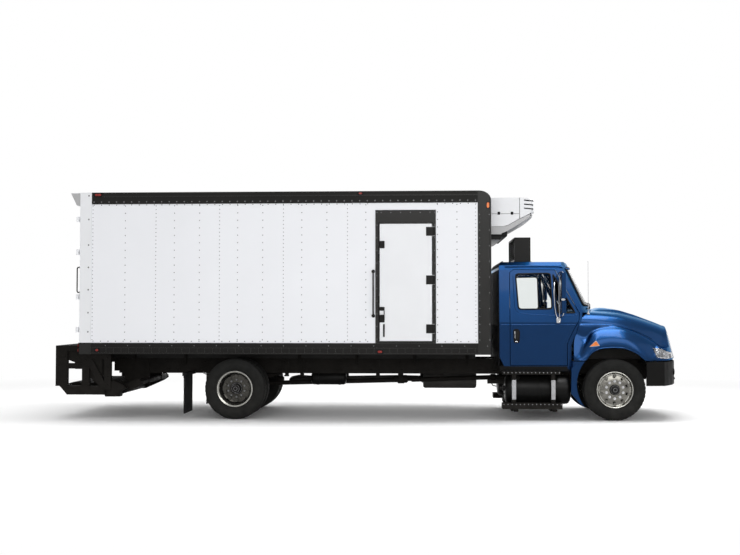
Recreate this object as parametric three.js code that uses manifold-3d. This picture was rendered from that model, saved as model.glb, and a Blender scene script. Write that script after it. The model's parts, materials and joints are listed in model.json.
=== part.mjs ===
// Box truck: conventional cab, insulated riveted body with a side door and a refrigeration unit,
// and a tuck-under liftgate. Millimetres, +X forward, +Y the truck's left, +Z up, ground at Z = 0.
// Pieces are modelled with the rear axle at X = 0, and the group is shifted to the middle of the length.
import * as THREE from 'three';
import { mergeVertices } from 'three/addons/utils/BufferGeometryUtils.js';
import Module from 'manifold-3d';

const wasm = await Module();
wasm.setup();

// ---------------------------------------------------------------- driving dimensions
const WHEELBASE = 6300;
const LENGTH = 10500;
const REAR_END = -3040;                        // rear face of the liftgate's dock plates
const FRONT_END = REAR_END + LENGTH;           // nose of the bumper
const GAP = 0.3;                               // between pieces that touch
const CLEAR = 10;                              // around doors and the hood

const TYRE = { radius: 506, halfWidth: 137, beadRadius: 289, beadHalf: 103, segments: 40 };
const FRONT_WHEEL_Y = 1012;
const REAR_OUTER_Y = 1077;
const REAR_INNER_Y = 737;
const KINGPIN_Y = 830;

const FRAME = { low: 725, top: 985, out: 430, flange: 90, web: 12, rear: -2180, front: 7040 };

const BOX = {
  rear: -2613, panelRear: -2416, panelFront: 4047, front: 4272, half: 1295, panelHalf: 1285,
  low: 1087, floorLow: 1130, floor: 1279, ledge: 1276, railLow: 3600, top: 3798, wall: 85,
};
const SIDE_DOOR = { x0: 2408, x1: 3303, z0: 1299, z1: 3264, frame: 53, header: 217, thick: 80 };
const SIDE_HINGE = { x: 3330, y: -1312 };
const REAR_HINGE = { x: -2650, y: 1330 };

const CAB = {
  rear: 4420, front: 5790, sill: 810, floorLow: 1010, belt: 1620, half: 1000, roofHalf: 925, roof: 2650, skin: 50,
};
const GLASS = { baseX: 6050, baseZ: 1855, lean: -0.512, sweep: 220 };
const HOOD_HINGE = { x: 7330, z: 600 };
const HOOD_TAIL_RADIUS = 1862;                 // rear edge of the hood about its hinge
const NOSE = { x: FRONT_END - 5, z: 985, lean: -0.249 };
const ARCH = { x: 6270, z: 597, radius: 600 };
const LIFT = { pivotX: -1690, pivotZ: 590, hingeX: -2900, hingeZ: 505, armY: 900 };

// ---------------------------------------------------------------- materials
const finish = (color, roughness, metalness) => new THREE.MeshStandardMaterial({ color, roughness, metalness });
const FINISHES = {
  blue_paint: finish(0x17488a, 0.3, 0.5),
  white_panel: finish(0xe9ebf2, 0.5, 0.0),
  black_paint: finish(0x1d1b1b, 0.5, 0.2),
  black_steel: finish(0x131212, 0.6, 0.3),
  tyre: finish(0x1a1a1b, 0.85, 0.0),
  polished_alloy: finish(0xc9c7c4, 0.2, 1.0),
  chrome: finish(0xdedede, 0.1, 1.0),
  glass: finish(0x9fb4bd, 0.05, 0.0),
  lamp: finish(0xe8ecef, 0.1, 0.2),
  dark_trim: finish(0x2b2b2d, 0.7, 0.0),
  seat_cloth: finish(0x3a3b3f, 0.9, 0.0),
  rubber: finish(0x161616, 0.8, 0.0),
};

// ---------------------------------------------------------------- shape helpers
const solidOf = (geometry) => {
  const plain = geometry.clone();
  plain.deleteAttribute('normal');
  plain.deleteAttribute('uv');
  const merged = mergeVertices(plain, 1e-3);
  const vertProperties = Float32Array.from(merged.attributes.position.array);
  const triVerts = Uint32Array.from(merged.index.array);
  return new wasm.Manifold(new wasm.Mesh({ numProp: 3, vertProperties, triVerts }));
};

const geometryOf = (solid) => {
  const mesh = solid.getMesh();
  const geometry = new THREE.BufferGeometry();
  geometry.setAttribute('position', new THREE.BufferAttribute(Float32Array.from(mesh.vertProperties), 3));
  geometry.setIndex(new THREE.BufferAttribute(Uint32Array.from(mesh.triVerts), 1));
  geometry.computeVertexNormals();
  return geometry;
};

const join = (...solids) => solids.flat().reduce((sum, next) => sum.add(next));
const cut = (solid, ...tools) => tools.flat().reduce((rest, tool) => rest.subtract(tool), solid);

const box = ([x0, x1], [y0, y1], [z0, z1]) => {
  const geometry = new THREE.BoxGeometry(x1 - x0, y1 - y0, z1 - z0);
  geometry.translate((x0 + x1) / 2, (y0 + y1) / 2, (z0 + z1) / 2);
  return solidOf(geometry);
};

const shapeOf = (points) => new THREE.Shape(points.map(([a, b]) => new THREE.Vector2(a, b)));
const extrude = (points, depth, options = {}) =>
  new THREE.ExtrudeGeometry(shapeOf(points), { depth, bevelEnabled: false, ...options });

// outline of [x, z] points, swept along Y
const sideSlab = (points, [y0, y1]) => {
  const geometry = extrude(points, y1 - y0);
  geometry.rotateX(Math.PI / 2);
  geometry.translate(0, y1, 0);
  return solidOf(geometry);
};

// outline of [y, z] points, swept along X
const frontSlab = (points, [x0, x1]) => {
  const geometry = extrude(points, x1 - x0);
  const basis = new THREE.Matrix4();
  basis.makeBasis(new THREE.Vector3(0, 1, 0), new THREE.Vector3(0, 0, 1), new THREE.Vector3(1, 0, 0));
  geometry.applyMatrix4(basis);
  geometry.translate(x0, 0, 0);
  return solidOf(geometry);
};

// outline of [x, y] points, swept along Z and leaning by dx per dz about the height zRef
const planSlab = (points, [z0, z1], lean = 0, zRef = 0) => {
  const geometry = extrude(points, z1 - z0);
  geometry.translate(0, 0, z0);
  const shear = new THREE.Matrix4();
  shear.set(1, 0, lean, -lean * zRef, 0, 1, 0, 0, 0, 0, 1, 0, 0, 0, 0, 1);
  geometry.applyMatrix4(shear);
  return solidOf(geometry);
};

const cylinder = (radius, length, axis, [x, y, z], segments = 16) => {
  const geometry = new THREE.CylinderGeometry(radius, radius, length, segments);
  if (axis === 'x') geometry.rotateZ(Math.PI / 2);
  if (axis === 'z') geometry.rotateX(Math.PI / 2);
  geometry.translate(x, y, z);
  return solidOf(geometry);
};

// straight round bar between two points
const bar = (radius, from, to, segments = 12) => {
  const a = new THREE.Vector3(...from);
  const b = new THREE.Vector3(...to);
  const geometry = new THREE.CylinderGeometry(radius, radius, a.distanceTo(b), segments);
  const along = b.clone().sub(a).normalize();
  geometry.applyQuaternion(new THREE.Quaternion().setFromUnitVectors(new THREE.Vector3(0, 1, 0), along));
  geometry.translate((a.x + b.x) / 2, (a.y + b.y) / 2, (a.z + b.z) / 2);
  return solidOf(geometry);
};

// points on an arc, angles in degrees from +first axis towards +second axis
const arc = (a, b, radius, from, to, steps) => Array.from({ length: steps + 1 }, (_, i) => {
  const angle = THREE.MathUtils.degToRad(from + (to - from) * i / steps);
  return [a + radius * Math.cos(angle), b + radius * Math.sin(angle)];
});

const mirrorY = (solid) => {
  const geometry = geometryOf(solid);
  geometry.applyMatrix4(new THREE.Matrix4().makeScale(1, -1, 1));
  const index = geometry.index.array;
  for (let i = 0; i < index.length; i += 3) [index[i], index[i + 1]] = [index[i + 1], index[i]];
  return solidOf(geometry);
};

// skin through a list of sections, each a closed ring of [x, y, z] points with the same count
const loft = (rings) => {
  const count = rings[0].length;
  const positions = rings.flat(2);
  const index = [];
  for (let r = 0; r < rings.length - 1; r += 1) {
    for (let i = 0; i < count; i += 1) {
      const next = (i + 1) % count;
      const [a, b] = [r * count + i, r * count + next];
      index.push(a, b, a + count, b, b + count, a + count);
    }
  }
  const last = (rings.length - 1) * count;
  for (let i = 1; i < count - 1; i += 1) {
    index.push(0, i + 1, i);
    index.push(last, last + i, last + i + 1);
  }
  const geometry = new THREE.BufferGeometry();
  geometry.setAttribute('position', new THREE.BufferAttribute(Float32Array.from(positions), 3));
  geometry.setIndex(index);
  return solidOf(geometry);
};

const truck = new THREE.Group();
truck.position.x = -(REAR_END + FRONT_END) / 2;

const addPart = (name, solid, finishName) => {
  const mesh = new THREE.Mesh(geometryOf(solid), FINISHES[finishName]);
  mesh.name = name;
  truck.add(mesh);
};
// a right-hand piece (negative Y) and its mirror image
const addPair = (name, rightSolid, finishName) => {
  addPart(`${name}_right`, rightSolid, finishName);
  addPart(`${name}_left`, mirrorY(rightSolid), finishName);
};

// ---------------------------------------------------------------- chassis
const railSection = (side) => {
  const out = side * FRAME.out;
  const inner = side * (FRAME.out - FRAME.web);
  const lip = side * (FRAME.out - FRAME.flange);
  const { low, top, web } = FRAME;
  return [[out, low], [out, top], [lip, top], [lip, top - web], [inner, top - web],
    [inner, low + web], [lip, low + web], [lip, low]];
};
const crossMembers = [                          // x of the middle, lowest z, highest z
  [-2225, 760, 960], [-900, 760, 960], [900, 760, 960], [2754, 700, 960], [4380, 760, 960], [6960, 740, 960],
];
const innerWeb = FRAME.out - FRAME.web + 2;
const chassisFrame = join(
  [-1, 1].map((side) => frontSlab(railSection(side), [FRAME.rear, FRAME.front])),
  crossMembers.map(([x, low, high]) => box([x - 45, x + 45], [-innerWeb, innerWeb], [low, high])),
);
addPart('chassis_frame', chassisFrame, 'black_steel');

// leaf spring: a bow of stacked leaves under the rail, on the axle
const leafSpring = (axleX, y, half, seatZ, eyeZ) => {
  const rise = eyeZ - seatZ;
  const bow = [-1, -0.5, 0, 0.5, 1].map((t) => [axleX + t * half, seatZ + rise * t * t]);
  const under = [0.55, 0, -0.55].map((t) => [axleX + t * half, seatZ - 70]);
  return sideSlab([...bow, ...under], [y - 40, y + 40]);
};
const springHanger = (x, y, low) => box([x - 35, x + 35], [y - 45, y + 45], [low, FRAME.low - GAP]);

const frontAxle = (() => {
  const seat = 560;
  const eye = 700;
  const half = 640;
  const beamOutline = [[-700, 380], [700, 380], [800, 470], [800, 530], [-800, 530], [-800, 470]];
  const beam = frontSlab(beamOutline, [6255, 6345]);
  const kingEyes = [-1, 1].map((side) => cylinder(48, 116, 'z', [WHEELBASE, side * KINGPIN_Y, 500]));
  const pinHoles = [-1, 1].map((side) => cylinder(24, 200, 'z', [WHEELBASE, side * KINGPIN_Y, 500]));
  const springs = [-385, 385].map((y) => leafSpring(WHEELBASE, y, half, seat, eye));
  const hangers = [-385, 385].map((y) =>
    [-half + 20, half - 20].map((dx) => springHanger(WHEELBASE + dx, y, eye - 60)));
  const pads = [-385, 385].map((y) => box([6235, 6365], [y - 55, y + 55], [470, seat - 40]));
  return cut(join(beam, kingEyes, springs, hangers.flat(), pads), pinHoles);
})();
addPart('front_axle', frontAxle, 'black_steel');

const knuckleRight = (() => {
  const y = -KINGPIN_Y;
  const ears = [[387, 435], [565, 613]].map(([low, high]) =>
    cylinder(54, high - low, 'z', [WHEELBASE, y, (low + high) / 2]));
  const kingpin = cylinder(22, 220, 'z', [WHEELBASE, y, 500]);
  const web = box([WHEELBASE - 50, WHEELBASE + 50], [y - 95, y - 60], [387, 613]);
  const webFeet = [[387, 435], [565, 613]].map((z) => box([WHEELBASE - 50, WHEELBASE + 50], [y - 70, y], z));
  const spindle = cylinder(38, 130, 'y', [WHEELBASE, y - 150, TYRE.radius], 20);
  return join(ears, kingpin, web, webFeet, spindle);
})();
addPair('knuckle', knuckleRight, 'black_steel');

const rearAxle = (() => {
  const seat = 610;
  const eye = 690;
  const half = 700;
  const tube = cylinder(75, 1000, 'y', [0, 0, TYRE.radius], 20);
  const spindles = cylinder(58, 2100, 'y', [0, 0, TYRE.radius], 20);
  const differential = cylinder(190, 240, 'y', [0, 0, TYRE.radius], 24);
  const nose = cylinder(95, 200, 'x', [270, 0, 520], 16);
  const springs = [-385, 385].map((y) => leafSpring(0, y, half, seat + 80, eye + 25));
  const pads = [-385, 385].map((y) => box([-75, 75], [y - 50, y + 50], [TYRE.radius, seat + 30]));
  return join(tube, spindles, differential, nose, springs, pads);
})();
addPart('rear_axle', rearAxle, 'black_steel');

const driveshaft = join(
  bar(40, [372, 0, 525], [2700, 0, 585], 14),
  cylinder(62, 120, 'x', [2754, 0, 587], 16),
  bar(24, [2800, 0, 588], [2950, 0, 592], 12),
  bar(40, [2940, 0, 591], [4610, 0, 648], 14),
  box([2715, 2793], [-90, 90], [600, 700 - GAP]),
);
addPart('driveshaft', driveshaft, 'black_steel');

const engineBlock = join(
  box([5840, 6890], [-300, 300], [760, 1480]),
  box([4620, 5845], [-190, 190], [560, 900]),
);
addPart('engine_block', engineBlock, 'black_steel');

// ---------------------------------------------------------------- wheels, turned about Y, outward at -Y
const turned = (profile, [x, y, z], segments) => {
  const points = profile.map(([radius, outward]) => new THREE.Vector2(radius, -outward));
  const geometry = new THREE.LatheGeometry(points, segments);
  geometry.translate(x, y, z);
  return solidOf(geometry);
};
const tyreProfile = (() => {
  const { radius, halfWidth, beadRadius, beadHalf } = TYRE;
  const half = [[beadRadius, beadHalf], [306, beadHalf + 3], [360, halfWidth], [475, halfWidth - 12], [radius, 96]];
  const other = half.map(([r, y]) => [r, -y]).reverse();
  return [...half, ...other];
})();
const tyreAt = (x, y) => turned([...tyreProfile, tyreProfile[0]], [x, y, TYRE.radius], TYRE.segments);
const RIM_SEAT = TYRE.beadRadius - 2;
const RIM_SEGMENTS = 20;
const handHoles = (x, y, circle, radius, depth, from) => Array.from({ length: 10 }, (_, i) => {
  const angle = (i + 0.5) * Math.PI / 5;
  const centre = [x + circle * Math.cos(angle), y + from, TYRE.radius + circle * Math.sin(angle)];
  return cylinder(radius, depth, 'y', centre, 6);
});

// columns: radius, outward distance from the wheel's middle
const frontRimProfile = [
  [0, 128], [62, 128], [78, 84], [160, 80], [236, 62], [278, 108], [300, 116], [300, 108], [RIM_SEAT, 104],
  [RIM_SEAT, 78], [262, 48], [262, -40], [RIM_SEAT, -76], [RIM_SEAT, -104], [300, -108], [300, -116],
  [248, -38], [248, 40], [95, 60], [95, -20], [46, -20], [46, 70], [0, 70],
];
const frontRim = cut(
  turned(frontRimProfile, [WHEELBASE, -FRONT_WHEEL_Y, TYRE.radius], RIM_SEGMENTS),
  handHoles(WHEELBASE, -FRONT_WHEEL_Y, 205, 17, 120, -60),
);
addPair('tyre_front', tyreAt(WHEELBASE, -FRONT_WHEEL_Y), 'tyre');
addPair('wheel_front', frontRim, 'polished_alloy');

// twin rims on one hub: outer dish, spacer drum, inner rim
const DUAL = REAR_OUTER_Y - REAR_INNER_Y;
const innerRim = [
  [276, 108], [300, 116], [300, 108], [RIM_SEAT, 104], [RIM_SEAT, 78], [264, 48], [264, -76], [RIM_SEAT, -104],
  [300, -108], [300, -116], [250, -50], [250, 40], [205, 60], [205, 20], [62, 20],
].map(([radius, outward]) => [radius, outward - DUAL]);
const rearRimProfile = [
  [0, 60], [70, 60], [84, -62], [238, -72], [250, -60], [250, 40], [278, 108], [300, 116], [300, 108],
  [RIM_SEAT, 104], [RIM_SEAT, 78], [264, 48], [264, -76], [RIM_SEAT, -104], [300, -108], [300, -116],
  [215, -90], [215, 90 - DUAL], ...innerRim, [62, 0], [0, 0],
];
const rearRim = cut(
  turned(rearRimProfile, [0, -REAR_OUTER_Y, TYRE.radius], RIM_SEGMENTS),
  handHoles(0, -REAR_OUTER_Y, 190, 26, 40, 72),
);
addPair('wheels_rear', rearRim, 'polished_alloy');
addPair('tyre_rear_outer', tyreAt(0, -REAR_OUTER_Y), 'tyre');
addPair('tyre_rear_inner', tyreAt(0, -REAR_INNER_Y), 'tyre');

// ---------------------------------------------------------------- fuel tanks and steps
const TANK = { x0: 4504, x1: 5601, y: -850, z: 495, radius: 245 };
const tankRight = (() => {
  const { x0, x1, radius } = TANK;
  const dome = [[0, x0], [radius * 0.6, x0 + 12], [radius * 0.9, x0 + 35], [radius, x0 + 75]];
  const far = [[radius, x1 - 75], [radius * 0.9, x1 - 35], [radius * 0.6, x1 - 12], [0, x1]];
  const geometry = new THREE.LatheGeometry([...dome, ...far].map(([r, x]) => new THREE.Vector2(r, x)), 32);
  geometry.rotateZ(-Math.PI / 2);
  geometry.translate(0, TANK.y, TANK.z);
  return solidOf(geometry);
})();
addPair('fuel_tank', tankRight, 'black_paint');

const stepsRight = (() => {
  const upper = box([4458, 5406], [-1170, -900], [758, 806]);
  const lower = box([4451, 5433], [-1190, -960], [190, 285]);
  const plate = [[-431, 930], [-431, 400], [-640, 190], [-700, 140], [-990, 140], [-990, 200], [-1130, 240],
    [-1150, 500], [-1150, 790], [-560, 800], [-500, 930]];
  const hangers = [4644, 5289].map((x) => frontSlab(plate, [x - 32, x + 32]));
  const tankHole = cylinder(TANK.radius + 3, 1400, 'x', [5050, TANK.y, TANK.z], 32);
  return cut(join(upper, lower, hangers), tankHole);
})();
addPair('tank_steps', stepsRight, 'black_steel');

// ---------------------------------------------------------------- cab
const windshieldSlab = (inset) => {
  const lead = inset * Math.hypot(1, GLASS.lean);
  const front = [-1100, -900, -650, -350, 0, 350, 650, 900, 1100].map((y) =>
    [GLASS.baseX - lead - GLASS.sweep * (y / 900) ** 2, y]);
  return planSlab([[4000, 1100], [4000, -1100], ...front], [700, 2800], GLASS.lean, GLASS.baseZ);
};

const tailArc = (grow, from, to) => arc(HOOD_HINGE.x, HOOD_HINGE.z, HOOD_TAIL_RADIUS + grow, from, to, 5);
// corner of the cab side ahead of the hood's tail line, moved rearward by grow
const tailCorner = (grow, [y0, y1]) => sideSlab([
  [5585 - grow, 700], [5585 - grow, 1250], ...tailArc(grow, 158.8, 146), [5806 - grow, 1700],
  [6200, 1700], [6200, 700],
], [y0, y1]);

// the cab's closed outer form, drawn in by inset; corners leaves room for the hood's tail
const cabSolid = (inset, bottom, corners = true) => {
  const roof = CAB.roof - inset;
  const rear = CAB.rear + inset;
  const side = [
    [rear, bottom], ...arc(rear + 90, roof - 100, 90, 180, 90, 4), [5000, roof], [5540, roof - 8],
    [5640, roof - 32], [5740, roof - 110], [6180, 1900],
    [6115 - inset, 1850 - inset], [6115 - inset, 1780 + inset],
    [CAB.front - inset, 1780 + inset], [CAB.front - inset, bottom],
  ];
  const halfFront = [
    [CAB.half - inset, bottom], [CAB.half - inset, CAB.belt], [CAB.roofHalf - inset, 2500],
    [CAB.roofHalf - 30 - inset, roof - 75], [CAB.roofHalf - 110 - inset, roof - 15], [500, roof],
  ];
  const front = [...halfFront, ...halfFront.map(([y, z]) => [-y, z]).reverse()];
  const body = sideSlab(side, [-1100, 1100])
    .intersect(frontSlab(front, [4000, 6500]))
    .intersect(windshieldSlab(inset));
  if (!corners) return body;
  return cut(body, tailCorner(CLEAR + inset, [-1100, -850]), tailCorner(CLEAR + inset, [850, 1100]));
};

const DOOR_FRONT = HOOD_TAIL_RADIUS + 45;
const doorOutline = (grow) => [
  [4600 - grow, 905 - grow], [5537 + grow, 905 - grow], [5537 + grow, 1250],
  ...arc(HOOD_HINGE.x, HOOD_HINGE.z, DOOR_FRONT - grow, 159.5, 147, 5), [5738 + grow, 1700],
  [5745 + grow, 1774], [5350 + grow, 2490 + grow], [4660, 2500 + grow], [4600 - grow, 2450],
];
const MAIN_PANE = [[4694, 2428], [4738, 1836], [5298, 1840], [5274, 2440]];
const VENT_PANE = [[5317, 2426], [5676, 1776], [5386, 1776]];
const doorPaneOutline = (grow) => [
  [4680 - grow, 2442 + grow], [4722 - grow, 1822 - grow], [5340, 1822 - grow], [5370, 1762 - grow],
  [5700 + grow, 1762 - grow], [5318 + grow, 2455 + grow],
];
const paneSkin = (outer, inner) => cut(cabSolid(outer, 900), cabSolid(inner, 800));

const doorRight = cut(
  cut(cabSolid(0, 800), cabSolid(62, 700, false)).intersect(sideSlab(doorOutline(0), [-1100, -830])),
  sideSlab(MAIN_PANE, [-1200, -700]),
  sideSlab(VENT_PANE, [-1200, -700]),
  paneSkin(20 - GAP, 26 + GAP).intersect(sideSlab(doorPaneOutline(GAP), [-1200, -700])),
);
addPair('cab_door', doorRight, 'blue_paint');
addPair('door_glass', paneSkin(20, 26).intersect(sideSlab(doorPaneOutline(0), [-1200, -700])), 'glass');

const shieldOutline = (grow) => [
  [-850 - grow, 1905 - grow], [850 + grow, 1905 - grow], [735 + grow, 2545 + grow], [-735 - grow, 2545 + grow],
];
const shieldOpening = frontSlab(shieldOutline(-14), [5400, 6400]);
const shieldPane = (grow) => frontSlab(shieldOutline(grow), [5560, 6400]);

const skirtRight = (() => {
  const lip = arc(ARCH.x, ARCH.z, ARCH.radius, 219.5, 141, 8);
  const outline = [[5630, 975], [5630, 905], [5587, 862], [5577, 447], [5720, 285], ...lip];
  const rearPanel = box([5610, 5642], [-1140, -900], [447, 975]);
  const tie = box([5548, 5640], [-985, -900], [830, 975]);
  return join(sideSlab(outline, [-1160, -1115]), rearPanel, tie);
})();

const cabShell = (() => {
  const hollow = cabSolid(CAB.skin, CAB.floorLow + 50);
  const underside = box([4300, 6300], [-900, 900], [700, CAB.floorLow]);
  const shell = cut(cabSolid(0, CAB.sill), hollow, underside);
  const doorHole = sideSlab(doorOutline(CLEAR), [-1100, -825]);
  const doorHoles = [doorHole, mirrorY(doorHole)];
  const rebate = paneSkin(15 - GAP, 23 + GAP).intersect(shieldPane(GAP));
  const skirts = [skirtRight, mirrorY(skirtRight)];
  return join(cut(shell, doorHoles, shieldOpening, rebate), skirts);
})();
addPart('cab_shell', cabShell, 'blue_paint');
addPart('windshield', paneSkin(15, 23).intersect(shieldPane(0)), 'glass');

const dashOutline = [[-820, 1400], [820, 1400], [820, 1760], [600, 1800], [-600, 1800], [-820, 1760]];
const dashboard = frontSlab(dashOutline, [5440, 5735]);
addPart('dashboard', dashboard, 'dark_trim');

const steeringWheel = (() => {
  const ring = new THREE.TorusGeometry(215, 16, 6, 18);
  const spokes = [0, 120, 240].map((angle) => {
    const rad = THREE.MathUtils.degToRad(angle + 30);
    return bar(12, [0, 0, 0], [205 * Math.cos(rad), 205 * Math.sin(rad), 0], 6);
  });
  const column = bar(30, [0, 0, 20], [0, 0, -170], 8);
  const flat = geometryOf(join(solidOf(ring), spokes, column));
  flat.rotateY(-THREE.MathUtils.degToRad(55));
  flat.translate(5240, 450, 1760);
  return solidOf(flat);
})();
addPart('steering_wheel', steeringWheel, 'dark_trim');

const seats = (() => {
  const cushion = (y0, y1) => box([4700, 5200], [y0, y1], [1360, 1480]);
  const backOutline = [[4570, 1450], [4640, 1370], [4770, 1370], [4700, 1790], [4600, 1810]];
  const back = (y0, y1) => sideSlab(backOutline, [y0, y1]);
  const base = box([4720, 5120], [-820, 820], [1060 + GAP, 1370]);
  return join(base, cushion(-850, 150), back(-850, 150), cushion(250, 800), back(250, 800));
})();
addPart('seats', seats, 'seat_cloth');

const mirrorRight = join(
  sideSlab([[5400, 1850], [5400, 2430], [5440, 2460], [5480, 2440], [5490, 1850]], [-1360, -1140]),
  box([5425, 5455], [-1290, -1200], [1700, 1860]),
  bar(14, [5440, -1245, 1715], [5385, -1001, 1655], 10),
  bar(12, [5440, -1245, 2430], [5400, -1245, 1700], 8),
  box([5345, 5425], [-1022, -1000 - GAP], [1610, 1705]),
);
addPair('mirror', mirrorRight, 'blue_paint');

const roofBox = (() => {
  const shell = box([4712, 4988], [-560, 560], [CAB.roof + GAP, 3067]);
  return cut(shell, box([4700, 4960], [-530, 530], [CAB.roof + 40, 3037]));
})();
addPart('roof_box', roofBox, 'black_paint');

// ---------------------------------------------------------------- hood with fenders, grille, headlamps
const noseSlab = (inset) => {
  const front = [-1200, -1080, -900, -650, -350, 0, 350, 650, 900, 1080, 1200].map((y) =>
    [NOSE.x - inset - 260 * (Math.abs(y) / 1000) ** 2.5, y]);
  return planSlab([[5000, 1200], [5000, -1200], ...front], [500, 2200], NOSE.lean, NOSE.z);
};
// columns: x, foot half-width, crease half-width and z, shoulder half-width and z, edge half-width and z,
// bulge half-width and z, middle z
const hoodSections = [
  [5700, 1000, 1000, 1575, 930, 1740, 700, 1802, 450, 1817, 1822],
  [6150, 985, 985, 1570, 900, 1735, 700, 1790, 420, 1850, 1868],
  [6500, 960, 950, 1545, 850, 1690, 650, 1755, 400, 1815, 1832],
  [6850, 900, 880, 1470, 790, 1600, 600, 1660, 380, 1715, 1728],
  [7150, 820, 790, 1360, 720, 1490, 560, 1550, 360, 1600, 1615],
  [7500, 740, 700, 1230, 640, 1360, 500, 1420, 330, 1470, 1490],
];
const hoodBody = (inset, bottom) => loft(hoodSections.map(
  ([x, foot, creaseY, creaseZ, shoulderY, shoulderZ, edgeY, edgeZ, bulgeY, bulgeZ, midZ]) => {
    const half = [[foot, bottom], [creaseY, creaseZ], [shoulderY, shoulderZ], [edgeY, edgeZ], [bulgeY, bulgeZ]]
      .map(([y, z], i) => (i === 0 ? [y - inset, z] : [y - inset, z - inset]));
    const ring = [...half, [0, midZ - inset], ...half.map(([y, z]) => [-y, z]).reverse()];
    return ring.map(([y, z]) => [x, y, z]);
  },
));
const fender = (inset, bottom) => {
  const crown = arc(WHEELBASE, 700, 820 - inset, 128, 66, 8);
  const outline = [[5630 + inset, bottom], [5630 + inset, 985], [5665 + inset, 1080], [5745 + inset, 1200],
    ...crown, [7110, 1210 - inset], [7420, 1060 - inset], [7420, bottom]];
  const round = 60;
  const geometry = extrude(outline, 460 - 2 * round, {
    bevelEnabled: true, bevelThickness: round, bevelSize: 40, bevelOffset: -40, bevelSegments: 2,
  });
  geometry.rotateX(Math.PI / 2);
  geometry.translate(0, -1165 + inset + 460 - round, 0);
  return solidOf(geometry);
};
const hoodRegion = (grow) => sideSlab([
  [5585 - grow, 985], [5585 - grow, 1250], ...tailArc(grow, 158.8, 146),
  [5806 - grow, 1700], [5806 - grow, 2000],
  [7600, 2000], [7600, 985],
], [-1300, 1300]);
const wheelArch = cylinder(ARCH.radius, 500, 'y', [ARCH.x, -1050, ARCH.z], 48);

const hoodSkin = (() => {
  const fenderOuter = fender(0, 900);
  const fenderInner = fender(38, 700);
  const outer = join(hoodBody(0, 900), fenderOuter, mirrorY(fenderOuter)).intersect(noseSlab(0));
  const inner = join(hoodBody(30, 700), fenderInner, mirrorY(fenderInner)).intersect(noseSlab(40));
  const cowl = cabSolid(-CLEAR, 900);
  return cut(cut(outer, inner).intersect(hoodRegion(0)), cowl, wheelArch, mirrorY(wheelArch));
})();

const lampOutline = (grow) => [
  [6935 - 2 * grow, 1196 + grow], [7010 - grow, 1035 - grow],
  [7400, 1020 - grow], [7400, 1110 + grow], [7120, 1185 + grow],
];
const lampPrism = (grow) => sideSlab(lampOutline(grow), [-1250, -640 + grow]);
const grilleOutline = (grow) => [
  [-440 - grow, 1010 - grow], [440 + grow, 1010 - grow], [400 + grow, 1440 + grow], [250, 1490 + grow],
  [-250, 1490 + grow], [-400 - grow, 1440 + grow],
];
const grillePrism = (grow) => frontSlab(grilleOutline(grow), [7150, 7600]);

const hood = cut(hoodSkin, lampPrism(GAP), mirrorY(lampPrism(GAP)), grillePrism(GAP));
addPart('hood', hood, 'blue_paint');
addPair('headlamp', hoodSkin.intersect(lampPrism(0)), 'lamp');
const grilleSlots = [-1, 1].flatMap((side) => [0, 1, 2, 3, 4].map((i) => {
  const z = 1045 + i * 82;
  const span = side > 0 ? [16, 372 - i * 8] : [-372 + i * 8, -16];
  return box([7150, 7600], span, [z, z + 52]);
}));
addPart('grille', cut(hoodSkin.intersect(grillePrism(0)), grilleSlots), 'chrome');

const bumper = (() => {
  const rim = (inset) => {
    const front = [-1130, -1000, -800, -500, 0, 500, 800, 1000, 1130].map((y) =>
      [FRONT_END - inset - 260 * (Math.abs(y) / 1000) ** 2.5, y * (1 - inset / 1130)]);
    return [[6812, 1160 - inset], [6812, -1160 + inset], ...front];
  };
  const outer = planSlab(rim(0), [575, 965]);
  const inner = planSlab(rim(45).map(([x, y]) => [x < 6900 ? 6700 : x, y]), [500, 920]);
  const railNotch = box([6700, FRAME.front + 20], [-480, 480], [900, 1000]);
  const mounts = [-385, 385].map((y) => box([FRAME.front + GAP, 7425], [y - 45, y + 45], [735, 930]));
  return join(cut(outer, inner, railNotch), mounts);
})();
addPart('front_bumper', bumper, 'black_paint');

// ---------------------------------------------------------------- insulated body
const floorHalf = BOX.panelHalf - BOX.wall - GAP;
const boxFloor = join(
  box([BOX.panelRear, BOX.panelFront], [-BOX.half, BOX.half], [BOX.floorLow, BOX.ledge]),
  box([BOX.panelRear, BOX.panelFront], [-floorHalf, floorHalf], [1200, BOX.floor]),
  [[-BOX.half, -BOX.half + 60], [BOX.half - 60, BOX.half]].map((y) =>
    box([BOX.panelRear, BOX.panelFront], y, [BOX.low, BOX.floorLow + 5])),
  [-385, 385].map((y) =>
    box([BOX.panelRear + 20, BOX.panelFront], [y - 40, y + 40], [FRAME.top + GAP, BOX.floorLow + 5])),
);
addPart('box_floor', boxFloor, 'black_paint');

const wallSpanX = [BOX.panelRear + GAP, BOX.panelFront - GAP];
const wallSpanZ = [BOX.ledge + GAP, BOX.railLow - GAP];
const wallRight = box(wallSpanX, [-BOX.panelHalf, -BOX.panelHalf + BOX.wall], wallSpanZ);
const frameSpanX = [SIDE_DOOR.x0 - SIDE_DOOR.frame, SIDE_DOOR.x1 + SIDE_DOOR.frame];
const frameTop = SIDE_DOOR.z1 + SIDE_DOOR.header;
const frameHole = box([frameSpanX[0] - GAP, frameSpanX[1] + GAP], [-1400, -1100], [1200, frameTop + GAP]);
addPart('box_wall_right', cut(wallRight, frameHole), 'white_panel');
addPart('box_wall_left', mirrorY(wallRight), 'white_panel');

const sideDoorFrame = cut(
  box(frameSpanX, [-BOX.half, -BOX.panelHalf + BOX.wall], [BOX.ledge + GAP, frameTop]),
  box([SIDE_DOOR.x0, SIDE_DOOR.x1], [-1400, -1100], [SIDE_DOOR.z0, SIDE_DOOR.z1]),
);
addPart('side_door_frame', sideDoorFrame, 'black_paint');

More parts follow.
